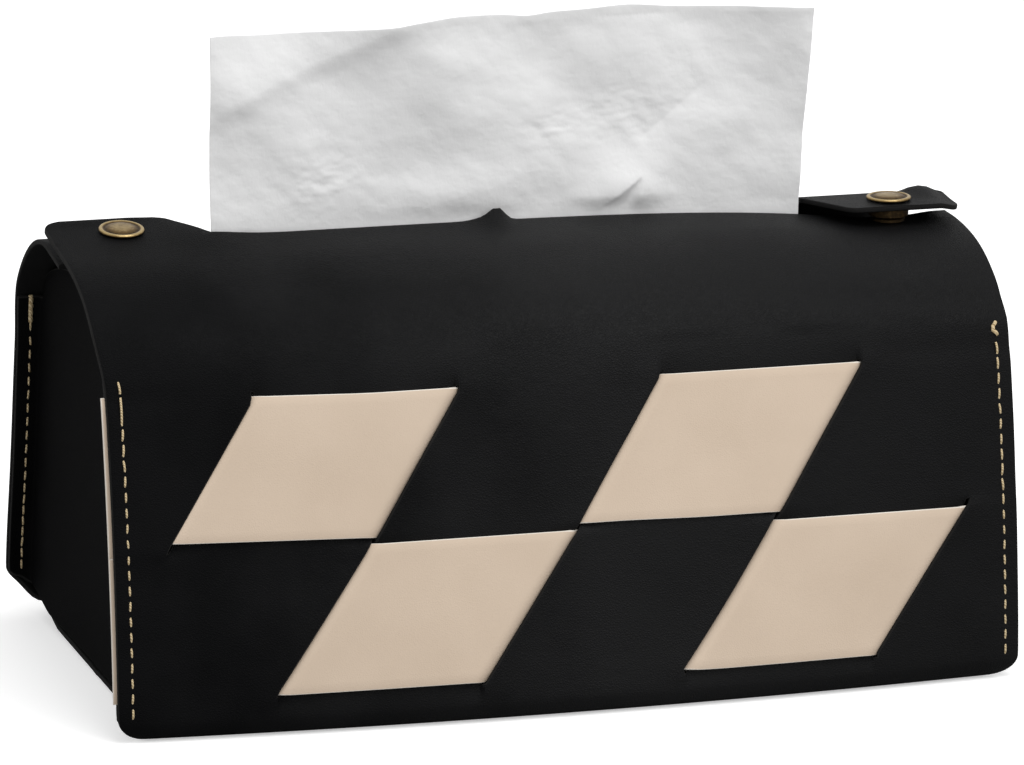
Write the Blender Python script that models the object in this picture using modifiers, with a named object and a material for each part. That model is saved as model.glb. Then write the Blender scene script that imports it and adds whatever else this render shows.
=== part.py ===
"""Tissue box cover of black leather cloth, with cream strips woven through its front.

The long way lies along X, the woven front faces -Y and the cover rests on Z = 0.
One black sheet runs down the front, under the tissues and up the back. Above the
side seams it folds along two hinge lines, so that a front flap and a back flap close
over the tissues. Each flap ends in a tab that is snapped over the other flap.
"""

import math

import bmesh
import bpy
from mathutils import Matrix, Vector

# Cover, in metres and degrees
LENGTH = 0.250
BASE_DEPTH = 0.131
WALL_LENGTH = 0.092
BROW_LENGTH = 0.010
FOLD_RADIUS = 0.005
WALL_LEAN_FOOT = 3.0
WALL_LEAN_TOP = 13.0
HINGE_LEAN = 28.0
LIP_HEIGHT = 0.1195
SLOT = 0.0034
SHOULDER_PULL = 0.014
LOW_SHOULDER_PULL = 0.007
ROOF_PULL = 0.017
LANDING = 0.012
BACK_LANDING = 0.0015
BACK_ROOF_TILT = 14.0
BELLY = 0.006
BELLY_FADE = 0.70
BELLY_POWER = 1.5
CORNER_RADIUS = 0.006
DROP_POWER = 6.0

# Cloth
SHEET = 0.0014
STRIP = 0.0009
GUSSET = 0.0012
GAP = 0.0003

# Woven front
LOWER_STRIP_FOOT = 0.0047
LOWER_STRIP_WIDTH = 0.0379
STRIP_SPACING = 0.0016
UPPER_STRIP_WIDTH = 0.0379
FIRST_SLIT = -0.1112
SLIT_PITCH = 0.0556
UPPER_SLANT = 0.65
LOWER_SLANT = 0.72
SLIT_WIDTH = 0.0042
SLIT_SPARE = 0.0004
WEAVE_RAMP = 0.0046

# End gussets and their seams
FLANGE = 0.0075
GUSSET_FOLD = 0.0015
GUSSET_BOW = 0.0016
ARCH_RISE = 0.016
ARCH_POWER = 0.6
ARCH_START = 0.75
SEAM_DROP = 0.002
SEAM_MARGIN = 0.0039
STITCH_PITCH = 0.0038
THREAD_RADIUS = 0.00035
STITCH_RISE = 0.0004

# Tabs and snaps
TAB_LENGTH = 0.0157
TAB_WIDTH = 0.0412
TAB_CORNER = 0.005
TAB_TAPER = 0.0095
LEFT_TAB_TILT = 8.0
RIGHT_TAB_TILT = 0.0
SNAP_INSET = 0.0185
RIGHT_SNAP_REACH = 0.0072
STUD_MARGIN = 0.001
LIP_RAMP = 0.0125
CAP_RADIUS = 0.0062
CAP_DOME = 0.0009
CAP_RIM = 0.0004
SHANK_RADIUS = 0.0015
SOCKET_RADIUS = 0.0055
SOCKET_HEIGHT = 0.0026
SOCKET_BORE_RADIUS = 0.0033
SOCKET_BORE_DEPTH = 0.0020
STUD_RADIUS = 0.0045
STUD_FLANGE = 0.0010
NUB_RADIUS = 0.0020
NUB_HEIGHT = 0.0014
NUB_ROUND = 0.0006
POST_RADIUS = 0.0040
POST_DISC = 0.0008
PIN_RADIUS = 0.0011

# Tissues
TISSUE_WIDTH = 0.1655
TISSUE_CENTRE = -0.0003
TISSUE_THICKNESS = 0.0005
TISSUE_SHOWN = 0.053
TISSUE_CROWN = 0.0042
TISSUE_SKEW = 1.3
TISSUE_WAVE = 0.0030
TISSUE_SPREAD = 0.0045
TISSUE_FOLDS = ((1.6, 1.0, 0.0, 1.0), (3.05, 0.0, 5.0, 0.5))
STACK_DEPTH = 0.100
STACK_HEIGHT = 0.070
STACK_ROUND = 0.006
STACK_SPARE = 0.002

# Mesh counts
SHEET_COLUMNS = 14
FLAP_COLUMNS = 20
WALL_ROWS = 7
BROW_ROWS = 3
FOLD_ROWS = 5
ROOF_ROWS = 9
STRIP_ROWS = 4
RAMP_STEPS = 4
GUSSET_COLUMNS = 8
TISSUE_COLUMNS = 24
TISSUE_ROWS = 10
ARC_STEPS = 5
TURN_STEPS = 24
CURVE_STEP = 0.001
CUT_DEPTH = 0.0056

FRONT = -1
BACK = 1
LEFT = -1
RIGHT = 1
TAB_TILT = {LEFT: math.radians(LEFT_TAB_TILT), RIGHT: math.radians(RIGHT_TAB_TILT)}
# The left cap sits as near the hinge as its rim allows; further back it would strike the flap when lifted.
SNAP_REACH = {LEFT: CAP_RADIUS, RIGHT: RIGHT_SNAP_REACH}
RAISED_LANDING = {FRONT: LANDING, BACK: BACK_LANDING}
ROOF_TILT = {FRONT: 0.0, BACK: math.radians(BACK_ROOF_TILT)}

LEAN_FOOT = math.radians(WALL_LEAN_FOOT)
LEAN_TOP = math.radians(WALL_LEAN_TOP)
LEAN_HINGE = math.radians(HINGE_LEAN)
LEAN_FLAT = math.radians(-90.0)
FOLD_LENGTH = FOLD_RADIUS * (LEAN_FOOT - LEAN_FLAT)
SNAP_PITCH = SHEET + 3 * GAP + SOCKET_HEIGHT + STUD_FLANGE
LOW_RUN = SNAP_INSET + STUD_RADIUS + STUD_MARGIN
SEAM_TOP = WALL_LENGTH - SEAM_DROP
WEAVE_MIDDLE = LOWER_STRIP_FOOT + LOWER_STRIP_WIDTH + STRIP_SPACING / 2
UPPER_STRIP_FOOT = WEAVE_MIDDLE + STRIP_SPACING / 2
WEAVE_OFFSET = SHEET / 2 + GAP + STRIP / 2
STACK_TOP = SHEET + GAP + STACK_HEIGHT


def clear_scene():
    """Remove whatever the scene holds."""
    for item in list(bpy.data.objects):
        bpy.data.objects.remove(item, do_unlink=True)


def collection(name):
    """Make a collection and put it in the scene."""
    made = bpy.data.collections.new(name)
    bpy.context.scene.collection.children.link(made)
    return made


clear_scene()
PARTS = collection("tissue_box_cover")
CUTTERS = collection("cutters")


def material(name, colour, roughness, metallic=0.0):
    """A plain material of one colour."""
    made = bpy.data.materials.new(name)
    made.use_nodes = True
    shader = made.node_tree.nodes["Principled BSDF"]
    shader.inputs["Base Color"].default_value = (*colour, 1.0)
    shader.inputs["Roughness"].default_value = roughness
    shader.inputs["Metallic"].default_value = metallic
    made.diffuse_color = (*colour, 1.0)
    return made


BLACK_LEATHER = material("black_leather", (0.012, 0.012, 0.013), 0.55)
CREAM_LEATHER = material("cream_leather", (0.70, 0.56, 0.43), 0.60)
ANTIQUE_BRASS = material("antique_brass", (0.30, 0.19, 0.08), 0.35, 1.0)
GOLDEN_THREAD = material("golden_thread", (0.62, 0.40, 0.16), 0.70)
TISSUE_PAPER = material("tissue_paper", (0.82, 0.82, 0.83), 0.90)


def arc_point(start, lean_from, lean_to, length, share):
    """Point on an arc whose lean from the vertical changes evenly along its length."""
    radius = length / (lean_to - lean_from)
    lean = lean_from + (lean_to - lean_from) * share
    inward = start[0] + radius * (math.cos(lean_from) - math.cos(lean))
    up = start[1] + radius * (math.sin(lean) - math.sin(lean_from))
    return inward, up


def mix(low, high, share):
    """Value between two ends."""
    return low + (high - low) * share


def fold_start():
    """Where the flat base ends and the fold begins, as distance inward and height."""
    return FOLD_RADIUS - BASE_DEPTH / 2, SHEET / 2


def wall_start():
    """Where the fold ends and the wall begins."""
    return arc_point(fold_start(), LEAN_FLAT, LEAN_FOOT, FOLD_LENGTH, 1.0)


def wall_point(share):
    """Point on the wall, which leans inward more towards its top and most along its brow."""
    plain = 1.0 - BROW_LENGTH / WALL_LENGTH
    if share <= plain:
        return arc_point(wall_start(), LEAN_FOOT, LEAN_TOP, plain * WALL_LENGTH, share / plain)
    brow_start = arc_point(wall_start(), LEAN_FOOT, LEAN_TOP, plain * WALL_LENGTH, 1.0)
    return arc_point(brow_start, LEAN_TOP, LEAN_HINGE, BROW_LENGTH, (share - plain) / (1.0 - plain))


def raised_share(side, x):
    """1 where the flap's lip stands high at its own tab, 0 where the other tab lies on it."""
    along = (LENGTH / 2 - side * x) / (LENGTH - LOW_RUN)
    return 1.0 - min(max(along, 0.0), 1.0) ** DROP_POWER


def low_reach(side, x):
    """How far the lip reaches past the slot's edge: it runs on under the other tab's snap."""
    ramp = (LOW_RUN + LIP_RAMP - LENGTH / 2 - side * x) / LIP_RAMP
    return min(max(ramp, 0.0), 1.0) * (SLOT - SNAP_REACH[-side] + STUD_RADIUS + STUD_MARGIN)


def lip(side, x):
    """The flap's edge at the slot: distance inward, height and slope."""
    raised_slope = -side * TAB_TILT[side]
    low_slope = -side * TAB_TILT[-side]
    tilt = TAB_TILT[-side]
    share = raised_share(side, x)
    reach = low_reach(side, x)
    low = LIP_HEIGHT + (reach - SLOT) * math.tan(low_slope) - SNAP_PITCH / math.cos(tilt)
    return reach - SLOT / 2, mix(low, LIP_HEIGHT, share), mix(low_slope, raised_slope, share)


def landing_start(side, x):
    """Where the curved shoulder of a flap passes into its straight landing."""
    inward, up, slope = lip(side, x)
    length = mix(LANDING, RAISED_LANDING[side], raised_share(side, x)) + low_reach(side, x)
    return inward - length * math.cos(slope), up - length * math.sin(slope)


def roof_point(side, x, share):
    """Point on the shoulder of a flap, a cubic curve from the wall to the landing."""
    share_raised = raised_share(side, x)
    slope = lip(side, x)[2] + ROOF_TILT[side] * share_raised
    first = Vector(wall_point(1.0))
    last = Vector(landing_start(side, x))
    pull = mix(LOW_SHOULDER_PULL, SHOULDER_PULL, share_raised)
    pull_up = first + pull * Vector((math.sin(LEAN_HINGE), math.cos(LEAN_HINGE)))
    pull_in = last - ROOF_PULL * Vector((math.cos(slope), math.sin(slope)))
    rest = 1.0 - share
    point = rest ** 3 * first + 3 * rest ** 2 * share * pull_up
    point += 3 * rest * share ** 2 * pull_in + share ** 3 * last
    return point[0], point[1]


def belly(x, zone, share):
    """How far the sheet stands out between its ends, most at the foot."""
    fade = {"base": share, "fold": 1.0}.get(zone, 0.0)
    if zone == "wall":
        fade = max(0.0, 1.0 - share / BELLY_FADE) ** BELLY_POWER
    return BELLY * (1.0 - (2 * x / LENGTH) ** 2) * fade


def sheet_point(side, x, zone, share):
    """Point on the middle surface of the black sheet."""
    if zone == "base":
        inward, up = share * fold_start()[0], SHEET / 2
    elif zone == "fold":
        inward, up = arc_point(fold_start(), LEAN_FLAT, LEAN_FOOT, FOLD_LENGTH, share)
    elif zone == "wall":
        inward, up = wall_point(share)
    elif zone == "roof":
        inward, up = roof_point(side, x, share)
    else:
        start = landing_start(side, x)
        inward, up = mix(start[0], lip(side, x)[0], share), mix(start[1], lip(side, x)[1], share)
    return Vector((x, side * (belly(x, zone, share) - inward), up))


def outward(side, x, zone, share):
    """Direction that faces out of the cover there."""
    along = sheet_point(side, x + CURVE_STEP, zone, share) - sheet_point(side, x - CURVE_STEP, zone, share)
    climb = sheet_point(side, x, zone, share + CURVE_STEP) - sheet_point(side, x, zone, share - CURVE_STEP)
    return -side * along.cross(climb).normalized()


def off_sheet(side, x, zone, share, distance):
    """Point at a distance outside the sheet's middle surface, or inside where it is negative."""
    return sheet_point(side, x, zone, share) + distance * outward(side, x, zone, share)


def sheet_edge(zone, share):
    """Half the sheet's length there: its corners are rounded where it turns under the base."""
    half = LENGTH / 2
    if zone == "base":
        return half - CORNER_RADIUS
    if zone == "fold":
        rise = min(share * FOLD_LENGTH, CORNER_RADIUS)
        return half - CORNER_RADIUS + math.sqrt(CORNER_RADIUS ** 2 - (CORNER_RADIUS - rise) ** 2)
    return half


def shares(count, first=0.0, last=1.0):
    """Evenly spaced values from first to last."""
    return [mix(first, last, step / count) for step in range(count + 1)]


def wall_shares(top):
    """Levels up the wall for the rows of a mesh, closer together along the brow."""
    plain = 1.0 - BROW_LENGTH / WALL_LENGTH
    return shares(WALL_ROWS, 0.0, plain) + shares(BROW_ROWS, plain, top)[1:]


def add_mesh(name, bm, look, where=None):
    """Turn a bmesh into a named object."""
    mesh = bpy.data.meshes.new(name)
    bm.to_mesh(mesh)
    bm.free()
    made = bpy.data.objects.new(name, mesh)
    if look:
        mesh.materials.append(look)
    (where or PARTS).objects.link(made)
    return made


def loft(name, rows, look):
    """Open surface through rows of points, each row as long as the next."""
    bm = bmesh.new()
    grid = [[bm.verts.new(point) for point in row] for row in rows]
    for lower, upper in zip(grid, grid[1:]):
        for step in range(len(lower) - 1):
            bm.faces.new((lower[step], lower[step + 1], upper[step + 1], upper[step]))
    made = add_mesh(name, bm, look)
    made.data.shade_smooth()
    return made


def thicken(made, thickness):
    """Give an open surface its wall, half of it on each side."""
    wall = made.modifiers.new("wall", "SOLIDIFY")
    wall.thickness = thickness
    wall.offset = 0.0
    wall.use_even_offset = True
    return made


def cut(made, cutter):
    """Take a cutter's shape out of a piece."""
    hole = made.modifiers.new(cutter.name, "BOOLEAN")
    hole.operation = "DIFFERENCE"
    hole.solver = "EXACT"
    hole.object = cutter


def as_cutter(made):
    """Hide a cutter from the render and show it as wire."""
    made.hide_render = True
    made.display_type = "WIRE"
    return made


def pivot(name, point, parent=None):
    """Empty on a joint's axis, which the pieces of its body hang on."""
    made = bpy.data.objects.new(name, None)
    made["place"] = tuple(point)
    PARTS.objects.link(made)
    base = Vector(parent["place"]) if parent else Vector((0, 0, 0))
    made.location = Vector(point) - base
    made.parent = parent
    return made


def hang(made, on):
    """Hang a piece on the empty of its joint, without moving it."""
    shift = Matrix.Translation(-Vector(on["place"]))
    made.parent = on
    made.matrix_basis = shift @ made.matrix_basis
    return made


def turned(name, profile, look, place, closed=False):
    """Round piece from a profile of radius and height that runs down its outer side."""
    bm = bmesh.new()
    points = [bm.verts.new((radius, 0.0, height)) for radius, height in profile]
    for upper, lower in zip(points, points[1:]):
        bm.edges.new((upper, lower))
    if closed:
        bm.edges.new((points[-1], points[0]))
    made = add_mesh(name, bm, look)
    turn = made.modifiers.new("turn", "SCREW")
    turn.steps = TURN_STEPS
    turn.render_steps = TURN_STEPS
    turn.use_merge_vertices = True
    turn.merge_threshold = 0.00001
    turn.use_smooth_shade = True
    made.matrix_basis = place
    return made


def drill(name, radius, place):
    """Cutter for a round hole through one layer of the sheet."""
    bm = bmesh.new()
    bmesh.ops.create_cone(bm, cap_ends=True, segments=TURN_STEPS, radius1=radius, radius2=radius, depth=2 * CUT_DEPTH)
    bmesh.ops.transform(bm, matrix=place, verts=bm.verts)
    return as_cutter(add_mesh(name, bm, None, CUTTERS))


def slit_cutters():
    """Slanted slots through the front, one for each place where a strip goes in or out."""
    bm = bmesh.new()
    lower_top = LOWER_STRIP_FOOT + LOWER_STRIP_WIDTH
    upper_top = UPPER_STRIP_FOOT + UPPER_STRIP_WIDTH
    for number in range(5):
        foot = LOWER_STRIP_FOOT if number > 0 else UPPER_STRIP_FOOT
        top = upper_top if number < 4 else lower_top
        levels = [foot - SLIT_SPARE, top + SLIT_SPARE]
        if foot < WEAVE_MIDDLE < top:
            levels.insert(1, WEAVE_MIDDLE)
        ring = [(height, -SLIT_WIDTH / 2) for height in levels]
        ring += [(height, SLIT_WIDTH / 2) for height in reversed(levels)]
        loops = []
        for depth in (-CUT_DEPTH, CUT_DEPTH):
            points = []
            for height, half in ring:
                middle = sheet_point(FRONT, slit_x(number, height) + half, "wall", height / WALL_LENGTH)
                points.append(bm.verts.new(middle + Vector((0, depth, 0))))
            loops.append(points)
        for points in loops:
            bm.faces.new(points)
        count = len(ring)
        for step in range(count):
            after = (step + 1) % count
            bm.faces.new((loops[0][step], loops[0][after], loops[1][after], loops[1][step]))
    bmesh.ops.triangulate(bm, faces=bm.faces)
    bmesh.ops.recalc_face_normals(bm, faces=bm.faces)
    return as_cutter(add_mesh("slit_cutters", bm, None, CUTTERS))


def slit_x(number, height):
    """Where a slit lies along X, at a height up the wall."""
    slant = UPPER_SLANT if height > WEAVE_MIDDLE else LOWER_SLANT
    return FIRST_SLIT + number * SLIT_PITCH + (height - WEAVE_MIDDLE) * slant


def body_sheet():
    """Black sheet from one hinge line, down the front, under the tissues and up the back."""
    top = 1.0 - GAP / 2 / WALL_LENGTH
    half = [("wall", share) for share in reversed(wall_shares(top))]
    half += [("fold", share) for share in shares(FOLD_ROWS, 1.0, 0.0)[1:]]
    half += [("base", 0.5)]
    stations = [(FRONT, *station) for station in half] + [(FRONT, "base", 0.0)]
    stations += [(BACK, *station) for station in reversed(half)]
    rows = []
    for side, zone, share in stations:
        edge = sheet_edge(zone, share)
        rows.append([sheet_point(side, x, zone, share) for x in shares(SHEET_COLUMNS, -edge, edge)])
    made = thicken(loft("body_sheet", rows, BLACK_LEATHER), SHEET)
    cut(made, slit_cutters())
    return made


def weave_strip(name, foot, width, slits):
    """Cream strip that passes out of one slit and back in at the next."""
    top = foot + width
    columns = [(-LENGTH / 2, -LENGTH / 2, -1.0)]
    level = -1.0
    for number in slits:
        for step in range(RAMP_STEPS + 1):
            share = step / RAMP_STEPS
            shift = (share - 0.5) * WEAVE_RAMP
            height = level * math.cos(math.pi * share)
            columns.append((slit_x(number, foot) + shift, slit_x(number, top) + shift, height))
        if number != slits[-1]:
            middle = SLIT_PITCH / 2
            columns.append((slit_x(number, foot) + middle, slit_x(number, top) + middle, -level))
        level = -level
    columns.append((LENGTH / 2, LENGTH / 2, -1.0))
    rows = []
    for share in shares(STRIP_ROWS):
        height = mix(foot, top, share)
        row = []
        for x_foot, x_top, offset in columns:
            x = mix(x_foot, x_top, share)
            row.append(off_sheet(FRONT, x, "wall", height / WALL_LENGTH, offset * WEAVE_OFFSET))
        rows.append(row)
    return thicken(loft(name, rows, CREAM_LEATHER), STRIP)


def gusset_inset(side):
    """From the sheet's middle surface to the gusset's: the strips' ends lie between them in front."""
    bare = SHEET / 2 + GAP + GUSSET / 2
    return bare + (STRIP + GAP if side == FRONT else 0.0)


def flange_line(side, end, zone, share):
    """Points of a gusset's flange along the sheet's inner face, from its edge to its fold."""
    inset = -gusset_inset(side)
    fold = LENGTH / 2 - FLANGE + GUSSET_FOLD
    edge = max(sheet_edge(zone, share), fold + GUSSET_FOLD / 2)
    return [off_sheet(side, end * x, zone, share, inset) for x in (edge, mix(edge, fold, 0.5), fold)]


def gusset_row(end, zone, share, height=None):
    """One level of a gusset: flange, fold, panel, fold, flange, from the front to the back."""
    fronts = flange_line(FRONT, end, zone, share)
    backs = flange_line(BACK, end, zone, share)
    panel_x = LENGTH / 2 - FLANGE
    front_y = fronts[-1].y + GUSSET_FOLD
    back_y = backs[-1].y - GUSSET_FOLD
    up = (fronts[-1].z + backs[-1].z) / 2
    row = list(fronts)
    turn = math.radians(45)
    bend = GUSSET_FOLD * (1 - math.sin(turn))
    row.append(Vector((end * (panel_x + bend), front_y - GUSSET_FOLD + bend, up)))
    climb = max(0.0, (share - ARCH_START) / (1.0 - ARCH_START)) if zone == "wall" else 0.0
    for step in shares(GUSSET_COLUMNS):
        y = mix(front_y, back_y, step)
        arch = 4 * step * (1 - step)
        bow = GUSSET_BOW * arch
        row.append(Vector((end * (panel_x - bow), y, up + ARCH_RISE * arch ** ARCH_POWER * climb)))
    row.append(Vector((end * (panel_x + bend), back_y + GUSSET_FOLD - bend, up)))
    row += reversed(backs)
    if height is not None:
        for point in row:
            point.z = height
    return row


def gusset(name, end):
    """End panel, folded outward into flanges that are sewn to the front and the back."""
    foot = SHEET + GAP
    rows = [gusset_row(end, "fold", 0.1, foot)]
    rows += [gusset_row(end, "fold", share) for share in shares(3, 0.1, 1.0)]
    top = SEAM_TOP / WALL_LENGTH
    rows += [gusset_row(end, "wall", share) for share in wall_shares(top)[1:]]
    return thicken(loft(name, rows, BLACK_LEATHER), GUSSET)


def seam_thread(name, side, end):
    """Thread of one seam, which rises in a stitch and dips to the sheet between stitches."""
    x = end * (LENGTH / 2 - SEAM_MARGIN)
    count = int(SEAM_TOP / STITCH_PITCH)
    low = SHEET / 2 + GAP + THREAD_RADIUS
    spine = bpy.data.curves.new(name, "CURVE")
    spine.dimensions = "3D"
    spine.bevel_depth = THREAD_RADIUS
    spine.bevel_resolution = 0
    spine.use_fill_caps = True
    points = []
    for step in range(2 * count + 1):
        height = SEAM_TOP - step * STITCH_PITCH / 2
        rise = STITCH_RISE if step % 2 else 0.0
        points.append(off_sheet(side, x, "wall", height / WALL_LENGTH, low + rise))
    line = spine.splines.new("POLY")
    line.points.add(len(points) - 1)
    for target, point in zip(line.points, points):
        target.co = (*point, 1.0)
    made = bpy.data.objects.new(name, spine)
    spine.materials.append(GOLDEN_THREAD)
    PARTS.objects.link(made)
    return made


def flap(name, side):
    """Front or back flap, from its hinge line over the shoulder to the slot."""
    start = GAP / 2 / (3 * SHOULDER_PULL)
    stations = [("roof", share) for share in shares(ROOF_ROWS, start, 1.0)]
    stations += [("landing", 1.0)]
    rows = []
    for zone, share in stations:
        xs = shares(FLAP_COLUMNS, -LENGTH / 2, LENGTH / 2)
        rows.append([sheet_point(side, x, zone, share) for x in xs])
    return thicken(loft(name, rows, BLACK_LEATHER), SHEET)


def tab_outline():
    """Outline of a tab as distance from the cover's end and reach from the slot's edge."""
    slant = math.atan2(TAB_TAPER, TAB_LENGTH)
    turn = math.pi / 2 - slant
    neck = TAB_WIDTH - TAB_TAPER - TAB_CORNER * math.tan(turn / 2)
    corners = ((TAB_CORNER, -math.pi / 2, 0.0), (neck, 0.0, turn))
    points = [(0.0, 0.0)]
    for across, first, last in corners:
        for angle in shares(ARC_STEPS, first, last):
            reach = TAB_LENGTH - TAB_CORNER + TAB_CORNER * math.cos(angle)
            points.append((across + TAB_CORNER * math.sin(angle), reach))
    points.append((TAB_WIDTH, 0.0))
    return points


def tab_frame(side):
    """Place of a tab's root at the cover's end, with the tab's reach along local Y."""
    end = side
    slope = -side * TAB_TILT[end]
    reach = Vector((0, -side * math.cos(slope), math.sin(slope)))
    root = Vector((end * LENGTH / 2, side * SLOT / 2, LIP_HEIGHT)) + GAP * reach
    across = Vector((-end, 0, 0))
    face = across.cross(reach)
    place = Matrix((across, reach, face)).transposed().to_4x4()
    return Matrix.Translation(root) @ place


def tab_hinge(side):
    """Point on a tab's hinge line: the sheet's outer face, halfway over the gap."""
    frame = tab_frame(side)
    face = snap_frame(side).to_3x3() @ Vector((0, 0, 1))
    return frame @ Vector((0, -GAP / 2, 0)) + face * SHEET / 2


def snap_frame(side):
    """Place of the snap on a tab's middle surface, with local Z pointing up out of the tab."""
    frame = tab_frame(side)
    centre = frame @ Vector((SNAP_INSET, SNAP_REACH[side], 0))
    tilt = Matrix.Rotation(TAB_TILT[side], 4, "X")
    return Matrix.Translation(centre) @ tilt


def tab(name, side):
    """Tab at the end of a flap, with the hole for its snap."""
    bm = bmesh.new()
    frame = tab_frame(side)
    corners = [bm.verts.new(frame @ Vector((across, reach, 0))) for across, reach in tab_outline()]
    bm.faces.new(corners)
    made = thicken(add_mesh(name, bm, BLACK_LEATHER), SHEET)
    cut(made, drill(name + "_hole", SHANK_RADIUS + GAP, snap_frame(side)))
    return made


def snap_cap(name, side):
    """Domed cap on top of a tab, with the shank that holds the socket."""
    foot = SHEET / 2 + GAP
    profile = []
    for step in shares(ARC_STEPS):
        turn = step * math.pi / 2
        profile.append((CAP_RADIUS * math.sin(turn), foot + CAP_RIM + CAP_DOME * math.cos(turn)))
    shank_end = -(SHEET / 2 + GAP + SOCKET_HEIGHT - SOCKET_BORE_DEPTH - GAP)
    profile += [(CAP_RADIUS, foot + CAP_RIM / 2), (CAP_RADIUS - CAP_RIM / 2, foot)]
    profile += [(SHANK_RADIUS, foot), (SHANK_RADIUS, shank_end), (0.0, shank_end)]
    return turned(name, profile, ANTIQUE_BRASS, snap_frame(side))


def snap_socket(name, side):
    """Ring under a tab: the cap's shank sits in its roof, the stud's nub in its bore."""
    top = -(SHEET / 2 + GAP)
    foot = top - SOCKET_HEIGHT
    hole = SHANK_RADIUS + GAP
    bevel = GAP
    profile = [(SOCKET_RADIUS - bevel, top), (SOCKET_RADIUS, top - bevel), (SOCKET_RADIUS, foot + bevel)]
    profile += [(SOCKET_RADIUS - bevel, foot), (SOCKET_BORE_RADIUS, foot)]
    profile += [(SOCKET_BORE_RADIUS, foot + SOCKET_BORE_DEPTH), (hole, foot + SOCKET_BORE_DEPTH), (hole, top)]
    return turned(name, profile, ANTIQUE_BRASS, snap_frame(side), closed=True)


def snap_stud(name, side):
    """Flanged stud on the sheet under a tab, with a rounded nub and a bore for its post."""
    foot = GAP + SHEET / 2 - SNAP_PITCH
    top = foot + STUD_FLANGE
    crown = top + NUB_HEIGHT
    bore = PIN_RADIUS + GAP
    ceiling = top + NUB_HEIGHT / 3
    profile = [(0.0, crown), (NUB_RADIUS - NUB_ROUND, crown), (NUB_RADIUS, crown - NUB_ROUND)]
    profile += [(NUB_RADIUS, top), (STUD_RADIUS - GAP, top), (STUD_RADIUS, top - GAP)]
    profile += [(STUD_RADIUS, foot), (bore, foot), (bore, ceiling), (0.0, ceiling)]
    return turned(name, profile, ANTIQUE_BRASS, snap_frame(side))


def snap_post(name, side):
    """Post that holds a stud from inside the cover."""
    top = -SNAP_PITCH - SHEET / 2 - GAP
    pin_top = GAP + SHEET / 2 - SNAP_PITCH + STUD_FLANGE
    profile = [(0.0, pin_top), (PIN_RADIUS, pin_top), (PIN_RADIUS, top), (POST_RADIUS - GAP, top)]
    profile += [(POST_RADIUS, top - GAP), (POST_RADIUS, top - POST_DISC), (0.0, top - POST_DISC)]
    return turned(name, profile, ANTIQUE_BRASS, snap_frame(side))


def stud_hole(made, side):
    """Hole for a post in the flap that a tab is snapped over."""
    place = snap_frame(side) @ Matrix.Translation((0, 0, -SNAP_PITCH))
    cut(made, drill(made.name + "_hole", PIN_RADIUS + GAP, place))


def tissue_stack():
    """Folded tissues that fill the cover."""
    bm = bmesh.new()
    bmesh.ops.create_cube(bm, size=1.0)
    size = (TISSUE_WIDTH + STACK_SPARE, STACK_DEPTH, STACK_HEIGHT)
    bmesh.ops.scale(bm, vec=size, verts=bm.verts)
    bmesh.ops.translate(bm, vec=(TISSUE_CENTRE, 0, STACK_TOP - STACK_HEIGHT / 2), verts=bm.verts)
    made = add_mesh("tissue_stack", bm, TISSUE_PAPER)
    rounding = made.modifiers.new("rounding", "BEVEL")
    rounding.width = STACK_ROUND
    rounding.segments = 3
    return made


def tissue_point(across, rise):
    """Point on the tissue that stands in the slot, flat below the lip and waved above it."""
    foot = STACK_TOP + GAP
    crown = LIP_HEIGHT + TISSUE_SHOWN + TISSUE_CROWN * math.sin(math.pi * across ** TISSUE_SKEW)
    up = mix(foot, crown, rise)
    above = max(0.0, (up - LIP_HEIGHT - SHEET) / TISSUE_SHOWN)
    x = TISSUE_CENTRE + (across - 0.5) * TISSUE_WIDTH + TISSUE_SPREAD * above * max(0.0, across - 0.5)
    sway = 0.0
    for turns, start, twist, size in TISSUE_FOLDS:
        sway += size * math.sin(2 * math.pi * turns * across + start + twist * above)
    return Vector((x, TISSUE_WAVE * above * sway, up))


def tissue_sheet():
    """Top tissue, drawn up through the slot."""
    rows = [[tissue_point(across, rise) for across in shares(TISSUE_COLUMNS)] for rise in shares(TISSUE_ROWS)]
    return thicken(loft("tissue_sheet", rows, TISSUE_PAPER), TISSUE_THICKNESS)


def hinge_line(side):
    """Middle of a flap's hinge line, on the outer face where the fold opens."""
    return off_sheet(side, 0.0, "wall", 1.0, SHEET / 2)


def build():
    """Make every piece and hang the moving ones on their joints."""
    body_sheet()
    weave_strip("lower_weave_strip", LOWER_STRIP_FOOT, LOWER_STRIP_WIDTH, (1, 2, 3, 4))
    weave_strip("upper_weave_strip", UPPER_STRIP_FOOT, UPPER_STRIP_WIDTH, (0, 1, 2, 3))
    ends = {LEFT: "left", RIGHT: "right"}
    sides = {FRONT: "front", BACK: "back"}
    for end, end_name in ends.items():
        gusset(end_name + "_gusset", end)
        for side, side_name in sides.items():
            seam_thread(f"{side_name}_{end_name}_seam_thread", side, end)
    tissue_stack()
    pull = pivot("tissue_pull", (0, 0, STACK_TOP))
    hang(tissue_sheet(), pull)
    flap_axes = {side: pivot(sides[side] + "_flap_open", hinge_line(side)) for side in sides}
    for side, side_name in sides.items():
        made = hang(flap(side_name + "_flap", side), flap_axes[side])
        stud_hole(made, -side)
    for side in sides:
        end_name = ends[side]
        tab_axis = pivot(end_name + "_tab_lift", tab_hinge(side), flap_axes[side])
        hang(tab(end_name + "_tab", side), tab_axis)
        hang(snap_cap(end_name + "_snap_cap", side), tab_axis)
        hang(snap_socket(end_name + "_snap_socket", side), tab_axis)
        hang(snap_stud(end_name + "_snap_stud", side), flap_axes[-side])
        hang(snap_post(end_name + "_snap_post", side), flap_axes[-side])
    for made in PARTS.objects:
        if made.type == "EMPTY":
            print(made.name, [round(value, 6) for value in made["place"]])


build()
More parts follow.
